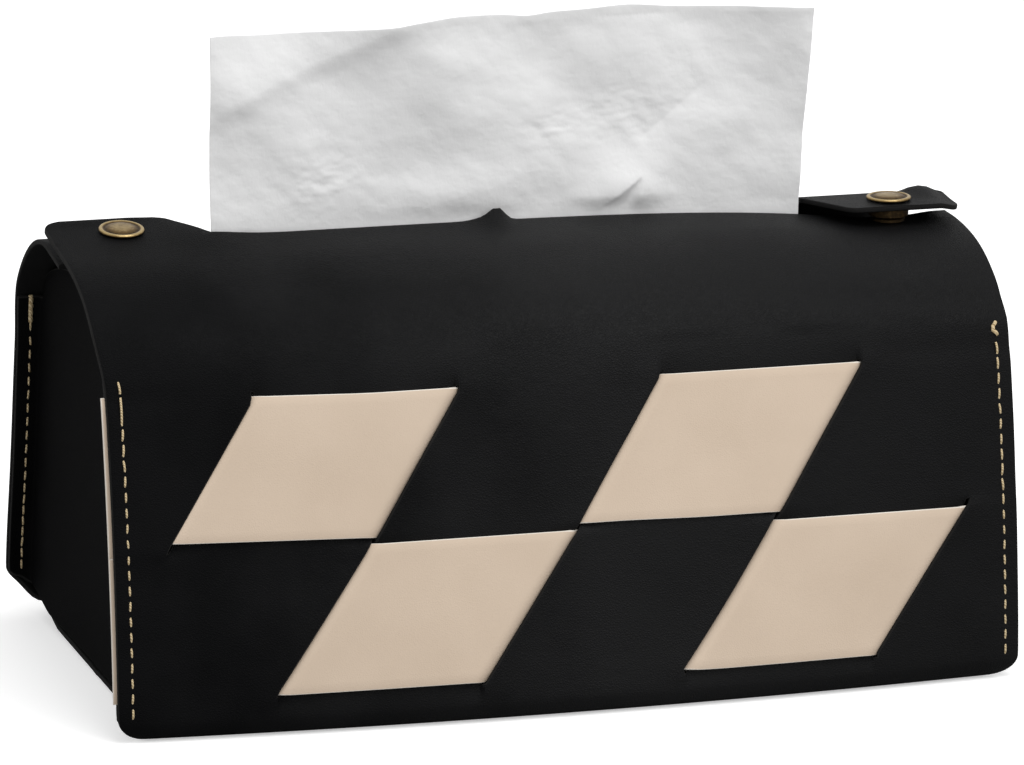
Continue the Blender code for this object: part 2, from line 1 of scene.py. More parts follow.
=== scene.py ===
# %% [markdown]
# # A woven leather tissue box cover
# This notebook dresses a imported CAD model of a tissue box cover. The real thing is one sheet
# of black leather cloth, wrapped round a pack of tissues, with two cream strips woven through
# its front. We keep every size of the CAD model and build finer pieces over it.

# %% Load the frame
from math import atan2, cos, exp, hypot, pi, radians, sin, sqrt, tan

import bmesh
import bpy
import numpy as np
from mathutils import Matrix, Vector, noise


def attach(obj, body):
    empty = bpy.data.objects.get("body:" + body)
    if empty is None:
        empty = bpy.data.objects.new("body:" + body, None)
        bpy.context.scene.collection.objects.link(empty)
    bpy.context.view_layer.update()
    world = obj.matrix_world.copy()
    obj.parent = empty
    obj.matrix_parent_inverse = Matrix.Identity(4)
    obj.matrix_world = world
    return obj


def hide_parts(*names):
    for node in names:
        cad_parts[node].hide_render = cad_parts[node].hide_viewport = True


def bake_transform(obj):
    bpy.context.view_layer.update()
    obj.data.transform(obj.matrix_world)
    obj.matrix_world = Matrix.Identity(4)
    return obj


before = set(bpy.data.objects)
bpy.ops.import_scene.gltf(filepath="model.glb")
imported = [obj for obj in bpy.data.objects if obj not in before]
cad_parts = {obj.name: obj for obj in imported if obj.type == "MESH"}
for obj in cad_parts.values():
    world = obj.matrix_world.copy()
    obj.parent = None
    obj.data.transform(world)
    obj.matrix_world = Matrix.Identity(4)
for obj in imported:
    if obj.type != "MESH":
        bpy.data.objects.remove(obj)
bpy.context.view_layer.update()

# %% [markdown]
# ## The cover's shape
# A designer would draw one cross-section and push it along the cover. We do the same: the
# section is a flat base, a fold, a leaning wall, a shoulder and a straight landing beside the
# slot. These are the sizes of the CAD source, in metres and degrees.

# %% Sizes of the section
LENGTH = 0.250
BASE_DEPTH = 0.131
WALL_LENGTH = 0.092
BROW_LENGTH = 0.010
FOLD_RADIUS = 0.005
LEAN_FLAT, LEAN_FOOT, LEAN_TOP, LEAN_HINGE = (radians(a) for a in (-90.0, 3.0, 13.0, 28.0))
LIP_HEIGHT = 0.1195
SLOT = 0.0034
SHOULDER_PULL = 0.014
LOW_SHOULDER_PULL = 0.007
ROOF_PULL = 0.017
LANDING = 0.012
BACK_LANDING = 0.0015
BACK_ROOF_TILT = radians(14.0)
BELLY = 0.006
BELLY_FADE = 0.70
BELLY_POWER = 1.5
DROP_POWER = 6.0
SHEET = 0.0014
STRIP = 0.0009
GUSSET = 0.0012
GAP = 0.0003
# The front flap's tab is at the left end and the back flap's at the right, so these agree.
FRONT, BACK = -1, 1
LEFT, RIGHT = -1, 1
TAB_TILT = {LEFT: radians(8.0), RIGHT: 0.0}
SNAP_INSET = 0.0185
SNAP_REACH = {LEFT: 0.0062, RIGHT: 0.0072}
SOCKET_HEIGHT = 0.0026
STUD_FLANGE = 0.0010
STUD_RADIUS = 0.0045
STUD_MARGIN = 0.001
LIP_RAMP = 0.0125
SNAP_PITCH = SHEET + 3 * GAP + SOCKET_HEIGHT + STUD_FLANGE
LOW_RUN = SNAP_INSET + STUD_RADIUS + STUD_MARGIN
FOLD_LENGTH = FOLD_RADIUS * (LEAN_FOOT - LEAN_FLAT)
FOLD_START = (FOLD_RADIUS - BASE_DEPTH / 2, SHEET / 2)
CORNER_INSET = 0.0098
CORNER_RISE = 0.0060
print("The fold is", round(1000 * FOLD_LENGTH, 1), "mm long")


# %% Points of the section
def mix(low, high, share):
    """Value between two ends."""
    return low + (high - low) * share


def clamp(value):
    """Value held between 0 and 1."""
    return min(max(value, 0.0), 1.0)


def ramp(value, start, run):
    """Smooth step from 0 at the start to 1 a run further on; a negative run goes the other way."""
    held = clamp((value - start) / run)
    return held * held * (3 - 2 * held)


def bell(value, centre, width):
    """Smooth hill of height 1 round a centre."""
    return exp(-((value - centre) / width) ** 2)


def hills(value, rows):
    """Sum of smooth hills, each given by its height, centre and width."""
    return sum(height * bell(value, centre, width) for height, centre, width in rows)


def steps(count, first=0.0, last=1.0):
    """Evenly spaced values from first to last."""
    return [mix(first, last, step / count) for step in range(count + 1)]


def through(knots, counts):
    """Values through all the knots, with each span cut into its count of even parts."""
    values = list(knots[:1])
    for count, first, last in zip(counts, knots, knots[1:]):
        values += steps(count, first, last)[1:]
    return values


def arc_point(start, lean_from, lean_to, length, share):
    """Point on an arc whose lean changes evenly, as distance inward and height."""
    radius = length / (lean_to - lean_from)
    lean = lean_from + (lean_to - lean_from) * share
    inward = start[0] + radius * (cos(lean_from) - cos(lean))
    return inward, start[1] + radius * (sin(lean) - sin(lean_from))


WALL_START = arc_point(FOLD_START, LEAN_FLAT, LEAN_FOOT, FOLD_LENGTH, 1.0)
PLAIN_LENGTH = WALL_LENGTH - BROW_LENGTH
BROW_START = arc_point(WALL_START, LEAN_FOOT, LEAN_TOP, PLAIN_LENGTH, 1.0)


def wall_point(height):
    """Point on the wall, at a height measured along it."""
    if height <= PLAIN_LENGTH:
        return arc_point(WALL_START, LEAN_FOOT, LEAN_TOP, PLAIN_LENGTH, height / PLAIN_LENGTH)
    climb = (height - PLAIN_LENGTH) / BROW_LENGTH
    return arc_point(BROW_START, LEAN_TOP, LEAN_HINGE, BROW_LENGTH, climb)


def raised_share(side, x):
    """1 where a flap stands high at its own tab, 0 where the other tab lies on it."""
    return 1.0 - clamp((LENGTH / 2 - side * x) / (LENGTH - LOW_RUN)) ** DROP_POWER


def low_reach(side, x):
    """How far a lip runs on under the other flap's snap."""
    share = clamp((LOW_RUN + LIP_RAMP - LENGTH / 2 - side * x) / LIP_RAMP)
    return share * (SLOT - SNAP_REACH[-side] + STUD_RADIUS + STUD_MARGIN)


def lip(side, x):
    """A flap's edge at the slot: distance inward, height and slope."""
    share, reach = raised_share(side, x), low_reach(side, x)
    raised_slope, low_slope = -side * TAB_TILT[side], -side * TAB_TILT[-side]
    low = LIP_HEIGHT + (reach - SLOT) * tan(low_slope) - SNAP_PITCH / cos(low_slope)
    return reach - SLOT / 2, mix(low, LIP_HEIGHT, share), mix(low_slope, raised_slope, share)


def landing_start(side, x):
    """Where a flap's shoulder passes into its landing."""
    inward, up, slope = lip(side, x)
    raised = LANDING if side == FRONT else BACK_LANDING
    length = mix(LANDING, raised, raised_share(side, x)) + low_reach(side, x)
    return inward - length * cos(slope), up - length * sin(slope)


def roof_point(side, x, share):
    """Point on a flap's shoulder, a cubic curve from the wall to the landing."""
    slope = lip(side, x)[2] + (BACK_ROOF_TILT * raised_share(side, x) if side == BACK else 0.0)
    first, last = Vector(wall_point(WALL_LENGTH)), Vector(landing_start(side, x))
    pull = mix(LOW_SHOULDER_PULL, SHOULDER_PULL, raised_share(side, x))
    pull_up = first + pull * Vector((sin(LEAN_HINGE), cos(LEAN_HINGE)))
    pull_in = last - ROOF_PULL * Vector((cos(slope), sin(slope)))
    rest = 1.0 - share
    point = rest ** 3 * first + 3 * rest ** 2 * share * pull_up
    point += 3 * rest * share ** 2 * pull_in + share ** 3 * last
    return point[0], point[1]


def sheet_point(side, x, zone, share):
    """Point on the middle surface of the black sheet; on the wall, share is a height."""
    fade = 0.0
    if zone == "base":
        inward, up, fade = share * FOLD_START[0], SHEET / 2, share
    elif zone == "fold":
        inward, up = arc_point(FOLD_START, LEAN_FLAT, LEAN_FOOT, FOLD_LENGTH, share)
        fade = 1.0
    elif zone == "wall":
        inward, up = wall_point(share)
        fade = max(0.0, 1.0 - share / WALL_LENGTH / BELLY_FADE) ** BELLY_POWER
    elif zone == "roof":
        inward, up = roof_point(side, x, share)
    else:
        start, end = landing_start(side, x), lip(side, x)
        inward, up = mix(start[0], end[0], share), mix(start[1], end[1], share)
    belly = BELLY * (1.0 - (2 * x / LENGTH) ** 2) * fade
    return x, side * (belly - inward), up


def sheet_edge(zone, share):
    """Distance of the sheet's end from the middle: its lower corners are cut round."""
    rise = {"base": 0.0, "wall": FOLD_RADIUS + share}.get(zone, CORNER_RISE)
    if zone == "fold":
        rise = FOLD_RADIUS * (1 + sin(mix(LEAN_FLAT, LEAN_FOOT, share)))
    past = 1 - min(rise / CORNER_RISE, 1.0)
    return LENGTH / 2 - CORNER_INSET * (1 - sqrt(1 - past ** 2))


print("Front lip at its ends:", [round(1000 * lip(FRONT, x)[1], 1) for x in (-0.12, 0.12)], "mm")

# %% [markdown]
# ## How the leather has settled
# A cover in use isn't as straight as its pattern. One corner of this one is lifted, its ends
# curl and its lips are drawn up. Each row below is one such move: the side it belongs to, the
# axis along which it moves, how far in metres, and the ramps and hills that keep it in place.

# %% Let the leather settle
X, Y, Z = range(3)
BOTH = 0
AT_LIP = (Z, 0.105, 0.010)
AT_CORNER = ((Y, 0.044, 0.020), (Z, 0.045, -0.045))
LIP_HILL = (Y, 0.0030, 0.0065)
SETTLED = (
    # The back left bottom corner is lifted, most of all at its tip.
    (BOTH, Z, 0.0040, ((X, -0.080, -0.036), *AT_CORNER), ()),
    (BOTH, Z, 0.0035, ((X, -0.1165, -0.006), *AT_CORNER), ()),
    # The left ends of the front's roof and of the back wall are drawn out and in.
    (FRONT, X, -0.0014, ((X, -0.105, -0.020), (Z, 0.090, 0.018)), ()),
    (BACK, X, 0.0008,
     ((X, -0.105, -0.020), (Y, 0.030, 0.030), (Z, 0.0, 0.060), (Z, 0.100, -0.020)), ()),
    # The front's lip rises beside its tab, the tab's tip curls up and so does the lip's right end.
    (FRONT, Z, 0.0012, (AT_LIP,), ((X, -0.085, 0.011), (Y, 0.0, 0.012))),
    (FRONT, Z, 0.0004, ((Y, 0.0085, 0.0055), (X, -0.094, -0.010), AT_LIP), ()),
    (FRONT, Z, 0.0008, ((X, 0.112, 0.010), (Y, -0.020, 0.014), AT_LIP), ()),
    # The back's lip has a hump near its right end and hangs down at the end itself.
    (BACK, Z, 0.0014, ((X, 0.1128, 0.0045), AT_LIP), (LIP_HILL,)),
    (BACK, Z, -0.00084, ((X, 0.119, 0.006), AT_LIP), (LIP_HILL,)),
    (BACK, Z, -0.0012, ((X, 0.1185, 0.0065), AT_LIP), ()),
)


def settle(side, point):
    """Give a point of the leather all the moves that reach it."""
    moved = list(point)
    for only, axis, amount, ramps, bells in SETTLED:
        if only in (BOTH, side):
            for along, start, run in ramps:
                amount *= ramp(point[along], start, run)
            for along, centre, width in bells:
                amount *= bell(point[along], centre, width)
            moved[axis] += amount
    return tuple(moved)


def crumple(x, height, scale, seed):
    """Soft relief between about -1 and 1: hollows of a given size, with half-size ones on them."""
    coarse = Vector((x / scale, height / scale, seed))
    fine = Vector((2.1 * x / scale, 2.1 * height / scale, seed + 5))
    return noise.noise(coarse) + 0.5 * noise.noise(fine)


# %% [markdown]
# ## Giving a surface its body
# Leather is a sheet, so each leather piece starts as one layer of quads. Blender's Solidify
# could thicken it, but it leaves square edges. Cut leather has soft, slightly rounded edges,
# so this helper adds both faces and a rounded rim with its own material. On the leather the
# rim's material is lighter and carries a painted highlight.

# %% A helper that thickens a sheet with rounded edges
ROUND_MIDDLE = 0.29
SHARP_ANGLE = radians(55)


def new_object(name, data):
    """Object that shows a mesh, a lamp or a camera in the scene."""
    made = bpy.data.objects.new(name, data)
    bpy.context.scene.collection.objects.link(made)
    return made


def grid_quads(rows, columns, left_out=()):
    """Quads of a grid of points, without those of the cells left out."""
    starts = [row * columns + column for row in range(rows - 1) for column in range(columns - 1)
              if (row, column) not in left_out]
    return np.array(starts)[:, None] + np.array((0, 1, columns + 1, columns))


def surface_normals(points, quads):
    """Normal at each point, as the mean of the faces round it."""
    across = points[quads[:, 2]] - points[quads[:, 0]]
    along = points[quads[:, 3]] - points[quads[:, 1]]
    faces = np.cross(across, along)
    normals = np.zeros_like(points)
    for corner in range(4):
        np.add.at(normals, quads[:, corner], faces)
    return normals / np.maximum(np.linalg.norm(normals, axis=1), 1e-12)[:, None], faces


def thick_sheet(name, grid, thickness, rounding, looks, flat=None, flip=False, left_out=()):
    """Closed sheet round a grid of points, with a look each for outer face, rim and inner face."""
    quads = grid_quads(len(grid), len(grid[0]), left_out)
    if flip:
        quads = quads[:, ::-1]
    points = np.array(grid, float).reshape(-1, 3)
    normals, faces = surface_normals(points, quads)
    owner = {}
    for face, quad in enumerate(quads):
        for a, b in zip(quad, np.roll(quad, -1)):
            owner.setdefault((min(a, b), max(a, b)), []).append((a, b, face))
    rim = [found[0] for found in owner.values() if len(found) == 1]
    away = np.zeros_like(points)
    for a, b, face in rim:
        side = np.cross(points[b] - points[a], faces[face])
        side /= max(np.linalg.norm(side), 1e-12)
        away[a] += side
        away[b] += side
    length = np.linalg.norm(away, axis=1)
    away[length > 0] /= length[length > 0][:, None]
    if flat is not None:
        away[flat] = 0.0
    half, soft = thickness / 2, ROUND_MIDDLE * rounding
    count = len(points)
    layers = [points + turn * normals * half - away * rounding for turn in (1, -1)]
    outer_rings = [(soft, half - soft), (0.0, half - rounding)]
    rings = outer_rings + [(inset, -level) for inset, level in reversed(outer_rings)]
    on_rim = sorted({a for a, _, _ in rim} | {b for _, b, _ in rim})
    place = {point: number for number, point in enumerate(on_rim)}
    for inset, level in rings:
        layers.append(points[on_rim] - away[on_rim] * inset + normals[on_rim] * level)
    mesh_faces = [tuple(quad) for quad in quads]
    mesh_faces += [tuple(int(v) + count for v in reversed(quad)) for quad in quads]
    slots = [0] * len(quads) + [2] * len(quads)

    def chain(point):
        ring_points = [2 * count + ring * len(on_rim) + place[point] for ring in range(len(rings))]
        return [point, *ring_points, point + count]

    for a, b, _ in rim:
        chain_a, chain_b = chain(a), chain(b)
        for step in range(len(rings) + 1):
            mesh_faces.append((chain_a[step], chain_a[step + 1], chain_b[step + 1], chain_b[step]))
            slots.append(1)
    mesh = bpy.data.meshes.new(name)
    mesh.from_pydata(np.vstack(layers).tolist(), [], mesh_faces)
    for look in looks:
        mesh.materials.append(look)
    mesh.polygons.foreach_set("material_index", slots)
    mesh.shade_smooth()
    mesh.set_sharp_from_angle(angle=SHARP_ANGLE)
    print(name, "has", len(mesh_faces), "faces")
    return new_object(name, mesh)


# %% [markdown]
# ## Materials
# Each finish is made of Blender's procedural nodes on Object coordinates, so that it has
# the same grain size wherever it is. Leather cloth has a pressed grain: small rounded cells
# with creases between them. A Voronoi texture gives the cells and a noise breaks them up.


# %% Helpers for nodes and materials
def fill(tree, node, inputs):
    """Link or set a node's inputs, given as pairs of a name or number and a socket or value."""
    for key, value in inputs:
        if isinstance(value, bpy.types.NodeSocket):
            tree.links.new(value, node.inputs[key])
        else:
            node.inputs[key].default_value = value
    return node


def add_node(tree, kind, *inputs, **settings):
    """Add a node with its settings and inputs to a tree."""
    made = tree.nodes.new(kind)
    for key, value in settings.items():
        setattr(made, key, value)
    return fill(tree, made, inputs)


class Finish:
    """Small builder for a procedural material."""

    def __init__(self, name, roughness, metallic=0.0, specular=0.5):
        self.made = bpy.data.materials.new(name)
        self.made.use_nodes = True
        self.tree = self.made.node_tree
        self.shader = self.tree.nodes["Principled BSDF"]
        self.give(("Roughness", roughness), ("Metallic", metallic),
                  ("Specular IOR Level", specular))
        self.place = self.node("ShaderNodeTexCoord").outputs["Object"]

    def node(self, kind, *inputs, **settings):
        """Add a node to this material."""
        return add_node(self.tree, kind, *inputs, **settings)

    def give(self, *inputs):
        """Link or set inputs of the shader."""
        fill(self.tree, self.shader, inputs)

    def noise(self, scale, detail=2.0, rough=0.5, stretch=None):
        """Noise over the piece; scale is in cells per metre."""
        place = self.place
        if stretch:
            place = self.node("ShaderNodeMapping", ("Vector", place), ("Scale", stretch)).outputs[0]
        return self.node("ShaderNodeTexNoise", ("Vector", place), ("Scale", scale),
                         ("Detail", detail), ("Roughness", rough)).outputs["Fac"]

    def cells(self, scale, feature="DISTANCE_TO_EDGE"):
        """Rounded cells, as pressed grain has."""
        return self.node("ShaderNodeTexVoronoi", ("Vector", self.place), ("Scale", scale),
                         feature=feature).outputs["Distance"]

    def ramp(self, value, *stops):
        """Colours or greys at places from 0 to 1."""
        made = self.node("ShaderNodeValToRGB", ("Fac", value))
        band = made.color_ramp
        while len(band.elements) < len(stops):
            band.elements.new(0.5)
        for element, (position, colour) in zip(band.elements, stops):
            element.position = position
            shade = colour if isinstance(colour, tuple) else (colour, colour, colour)
            element.color = (*shade, 1.0)
        return made.outputs["Color"]

    def sum(self, first, second, share=1.0):
        """First plus a share of second."""
        return self.node("ShaderNodeMath", (0, second), (1, share), (2, first),
                         operation="MULTIPLY_ADD").outputs[0]

    def bump(self, height, depth, strength=1.0):
        """Bump of a depth in metres."""
        made = self.node("ShaderNodeBump", ("Height", height), ("Strength", strength),
                         ("Distance", depth))
        self.give(("Normal", made.outputs["Normal"]))


# %% Black leather with its painted sheen and shade, its raw edge with a painted highlight, and its back
def leather(name, dark, light, roughness, grain, depth, specular, wrinkles_and_sheen=False):
    """Pressed leather cloth: grain, uneven colour and gloss; if asked, wrinkle patches and a
    painted sheen along X.
    """
    finish = Finish(name, roughness, specular=specular)
    cloud = finish.noise(38.0, detail=3.0)
    fine = finish.noise(grain * 1.7)
    cell = finish.cells(grain)
    colour = finish.ramp(finish.sum(cloud, fine, 0.25), (0.42, dark), (0.78, light))
    gloss = finish.ramp(finish.sum(cloud, fine, 0.5),
                        (0.3, roughness - 0.06), (0.9, roughness + 0.08))
    finish.give(("Base Color", colour), ("Roughness", gloss))
    height = finish.sum(finish.ramp(cell, (0.0, 0.0), (0.35, 1.0)), fine, 0.8)
    if wrinkles_and_sheen:
        patch = finish.ramp(finish.noise(24.0), (0.50, 0.0), (0.66, 1.0))
        wrinkles = finish.noise(330.0, detail=3.0, rough=0.6)
        height = finish.sum(height, finish.sum(0.0, wrinkles, patch), 3.0)
        # Painted sheen: the specular level follows X, weakest at the left end, strongest near the
        # middle and a little less at the right, with a cloud on it.
        along = finish.node("ShaderNodeSeparateXYZ", ("Vector", finish.place)).outputs["X"]
        sheen_place = finish.sum(finish.sum(0.35, along, 1 / LENGTH), cloud, 0.3)
        painted_sheen = [(0.12, 0.35 * specular), (0.55, 1.5 * specular), (0.90, 1.1 * specular)]
        finish.give(("Specular IOR Level", finish.ramp(sheen_place, *painted_sheen)))
    finish.bump(height, depth)
    return finish.made


# Name, darkest and lightest colour, roughness, grain in cells per metre, its depth, its sheen,
# and whether it gets wrinkle patches and a painted sheen along X.
BLACK, SHADED_END_BLACK, RAW_EDGE_AND_HIGHLIGHT, LINING, CREAM, CREAM_EDGE_HIGHLIGHT = (leather(*row) for row in (
    ("black_leather", (0.0030, 0.0031, 0.0034), (0.0056, 0.0057, 0.0061),
     0.48, 1500.0, 0.00009, 0.10, True),
    # The ends: the same black leather with less sheen and more roughness, so that they read darker;
    # this is painted shade.
    ("end_leather", (0.0030, 0.0030, 0.0032), (0.0056, 0.0056, 0.0059),
     0.70, 1500.0, 0.00009, 0.02),
    # Rim of the black: the raw edge's own lighter colour, with a painted highlight on it.
    ("raw_edge", (0.0065, 0.0062, 0.0062), (0.0140, 0.0135, 0.0130),
     0.80, 2600.0, 0.00008, 0.20),
    ("lining", (0.006, 0.006, 0.006), (0.012, 0.012, 0.012), 0.90, 3200.0, 0.00010, 0.10),
    ("cream_leather", (0.655, 0.525, 0.405), (0.705, 0.570, 0.445), 0.56, 1700.0, 0.00002, 0.30),
    # Rim of the cream strips: lighter than the cream, a painted highlight along the cut edges.
    ("cream_edge", (0.82, 0.75, 0.66), (0.90, 0.84, 0.76), 0.75, 2600.0, 0.00004, 0.30)))
BLACK_LOOKS = (BLACK, RAW_EDGE_AND_HIGHLIGHT, LINING)
SHADED_END_LOOKS = (SHADED_END_BLACK, RAW_EDGE_AND_HIGHLIGHT, LINING)
CREAM_LOOKS = (CREAM, CREAM_EDGE_HIGHLIGHT, CREAM)


# %% Brass, thread and paper
def brass():
    """Darkened brass: brown in the hollows and bright where hands rub it."""
    finish = Finish("antique_brass", 0.34, metallic=1.0)
    rubbed = finish.node("ShaderNodeAttribute", attribute_name="rubbed").outputs["Fac"]
    patches = finish.sum(finish.noise(900.0, detail=4.0, rough=0.6), finish.noise(160.0), 0.5)
    wear = finish.sum(rubbed, patches, 0.45)
    brown, dull, bright = (0.045, 0.030, 0.016), (0.19, 0.12, 0.048), (0.58, 0.43, 0.20)
    finish.give(("Base Color", finish.ramp(wear, (0.28, brown), (0.62, dull), (0.95, bright))),
                ("Roughness", finish.ramp(wear, (0.3, 0.52), (1.0, 0.25))))
    finish.bump(finish.noise(2600.0, detail=3.0), 0.00002)
    return finish.made


def thread():
    """Waxed thread with its twist."""
    finish = Finish("golden_thread", 0.62)
    twist = finish.node("ShaderNodeTexWave", ("Vector", finish.place), ("Scale", 700.0),
                        ("Distortion", 2.0), bands_direction="DIAGONAL").outputs["Fac"]
    uneven = finish.sum(twist, finish.noise(700.0), 0.4)
    colour = finish.ramp(uneven, (0.2, (0.46, 0.33, 0.16)), (1.0, (0.78, 0.63, 0.39)))
    finish.give(("Base Color", colour))
    finish.bump(twist, 0.00008)
    return finish.made


def paper():
    """Soft tissue: a fine crepe and small pressed dots."""
    finish = Finish("tissue_paper", 0.95, specular=0.1)
    crepe = finish.noise(1300.0, detail=3.0, rough=0.6, stretch=(1.0, 1.0, 0.7))
    cloud = finish.noise(28.0, detail=3.0)
    finish.give(("Base Color", finish.ramp(cloud, (0.3, 0.87), (0.7, 0.91))))
    relief = finish.sum(crepe, finish.noise(260.0, detail=3.0), 1.6)
    dots = finish.ramp(finish.cells(520.0, "F1"), (0.1, 0.0), (0.6, 1.0))
    finish.bump(finish.sum(relief, dots, 0.5), 0.00012, strength=0.45)
    return finish.made


BRASS, THREAD, PAPER = brass(), thread(), paper()
finishes = (*BLACK_LOOKS, SHADED_END_BLACK, CREAM, CREAM_EDGE_HIGHLIGHT, BRASS, THREAD, PAPER)
print("Materials:", [made.name for made in finishes])

# %% [markdown]
# ## The woven front
# The front has five slanted slits. Two cream strips go in and out of them. Where a black
# column lies over a strip, its cut edge rides up over the cream; where it lies behind, it is
# pressed back. A Boolean could cut the slits, but a grid whose columns run along them keeps
# the leather smooth, so the slits are cells that we leave out.

# %% Sizes of the weave
LOWER_FOOT = 0.0047
STRIP_WIDTH = 0.0379
STRIP_SPACING = 0.0016
FIRST_SLIT = -0.1112
SLIT_PITCH = 0.0556
UPPER_SLANT = 0.65
LOWER_SLANT = 0.72
WEAVE_MIDDLE = LOWER_FOOT + STRIP_WIDTH + STRIP_SPACING / 2
UPPER_FOOT = WEAVE_MIDDLE + STRIP_SPACING / 2
WEAVE_TOP = UPPER_FOOT + STRIP_WIDTH
SLITS = range(5)
SLIT_HALF = 0.0004
EDGE_LIFT = 0.0009
LIFT_RUN = 0.006
STRIP_LIFT = 0.00125
STRIP_RAMP = 0.003
SLIT_REACH = 0.0006
LOWER_DRIFT = (0.0, 0.0006, 0.0008, 0.0010, -0.0003)
UPPER_DRIFT = (0.0003, 0.0004, 0.0011, 0.0014, 0.0)
DRIFT_CHANGE = 0.004
LIFT_CHANGE = 0.0024
SLIT_BOW = 0.0007
BOWED_SLIT = 3


def upper_share(height, run):
    """0 in the lower row and 1 in the upper one, with a soft change of a given run between."""
    return ramp((height - WEAVE_MIDDLE) / run, -0.5, 1.0)


def slit_x(number, height):
    """Where a slit lies along X at a height; hand-cut slits are a little out of line."""
    height = min(max(height, LOWER_FOOT), WEAVE_TOP)
    if number == 0:
        height = max(height, WEAVE_MIDDLE)
    if number == 4:
        height = min(height, WEAVE_MIDDLE)
    slant = UPPER_SLANT if height > WEAVE_MIDDLE else LOWER_SLANT
    drift = mix(LOWER_DRIFT[number], UPPER_DRIFT[number], upper_share(height, DRIFT_CHANGE))
    if number == BOWED_SLIT:
        climb = clamp((height - LOWER_FOOT) / STRIP_WIDTH)
        drift += SLIT_BOW * 4 * climb * (1 - climb)
    return FIRST_SLIT + number * SLIT_PITCH + (height - WEAVE_MIDDLE) * slant + drift


def row_slits(upper):
    """The four slits that a row's strip goes through."""
    return SLITS[:-1] if upper else SLITS[1:]


def weave_at(x, height, upper):
    """1 where black lies over the strip or -1 behind it, and how far the nearest slit is."""
    column = sum(x > slit_x(number, height) for number in SLITS)
    near = min(abs(x - slit_x(number, height)) for number in row_slits(upper))
    over = column in (0, len(SLITS)) or (column % 2 == 0) == upper
    return (1.0 if over else -1.0), near


def lift(x, height):
    """How far the black sheet rides up over the strips, or is pressed back behind them."""
    if height < LOWER_FOOT - LIFT_RUN or height > WEAVE_TOP + LIFT_RUN:
        return 0.0
    total = 0.0
    share = upper_share(height, LIFT_CHANGE)
    for upper, weight in ((True, share), (False, 1.0 - share)):
        if weight > 0.0:
            over, near = weave_at(x, height, upper)
            foot, top = (UPPER_FOOT, WEAVE_TOP) if upper else (LOWER_FOOT, WEAVE_MIDDLE)
            beyond = max(foot - height, height - top, 0.0)
            fade = exp(-near / LIFT_RUN) * ramp(beyond, LIFT_RUN, -LIFT_RUN)
            total += weight * over * EDGE_LIFT * fade
    return total


print("Weave from", round(1000 * LOWER_FOOT, 1), "to", round(1000 * WEAVE_TOP, 1), "mm up the wall")

# %% Grid of the front sheet, with its columns along the slits
COLUMN_COUNTS = (16, 1, 34, 1, 34, 1, 34, 1, 34, 1, 16)
SLIT_STARTS = [sum(COLUMN_COUNTS[:first]) for first in range(1, len(COLUMN_COUNTS), 2)]
# Levels of the wall that get a row of points, and at which of them each slit begins and ends.
SLIT_LEVELS = [LOWER_FOOT - 0.0012, LOWER_FOOT + 0.0001, WEAVE_MIDDLE - SLIT_REACH,
               WEAVE_MIDDLE + SLIT_REACH, WEAVE_TOP + 0.0010, WEAVE_TOP + 0.0026]
SLIT_ENDS = ((3, 5), (1, 4), (1, 4), (0, 4), (0, 3))
ROW_SPACING = 0.0017
# Relief of the front in metres: waves with their hollows' size, dents, creases and lip kinks.
(WALL_WAVE, WALL_HOLLOW), (ROOF_WAVE, ROOF_HOLLOW) = (0.00030, 0.030), (0.00055, 0.022)
DENT, CREASE = 0.0005, 0.00012
LIP_KINKS = ((0.0034, -0.0041, 0.0026), (0.0010, -0.0075, 0.0040))
KINK_POWER = 2.5
# Where it lies, as hills up the wall or the roof, and as ramps or a hill along X.
WALL_DENT, LEFT_DENT, RIGHT_DENT = (0.0845, 0.0030), (-0.088, -0.02), (0.080, 0.02)
ROOF_DENT, ROOF_DENT_RIGHT = (0.24, 0.10), (0.05, 0.04)
CREASES_UP, CREASES_ALONG = (0.30, 0.12), (0.100, 0.010)
CREASE_RATE, CREASE_LEAN = 900.0, 0.6
ROOF_LENGTH = 0.055


def front_columns(height):
    """X of every column at a height up the wall."""
    knots = [-LENGTH / 2]
    for number in SLITS:
        middle = slit_x(number, height)
        knots += [middle - SLIT_HALF, middle + SLIT_HALF]
    return through(knots + [LENGTH / 2], COLUMN_COUNTS)


levels = [0.0] + SLIT_LEVELS + [WALL_LENGTH]
counts = [max(1, round((high - low) / ROW_SPACING)) for low, high in zip(levels, levels[1:])]
ROWS = [("base", 0.0)]
for zone, shares in (("base", steps(12)), ("fold", steps(10)), ("wall", through(levels, counts)),
                     ("roof", steps(34)), ("landing", steps(8))):
    ROWS += [(zone, share) for share in shares[1:]]


def sheet_rows(side, columns_at, displace):
    """Grid of points of one side's sheet, pushed out along its normals where asked."""
    grid, pushes = [], []
    for zone, share in ROWS:
        height = share if zone == "wall" else (0.0 if zone in ("base", "fold") else WALL_LENGTH)
        xs = [x * 2 * sheet_edge(zone, share) / LENGTH for x in columns_at(height)]
        grid.append([settle(side, sheet_point(side, x, zone, share)) for x in xs])
        pushes.append([displace(x, zone, share) for x in xs])
    points = np.array(grid)
    flat = points.reshape(-1, 3)
    normals = surface_normals(flat, grid_quads(*points.shape[:2]))[0]
    return (flat + normals * np.array(pushes).reshape(-1, 1)).reshape(points.shape)


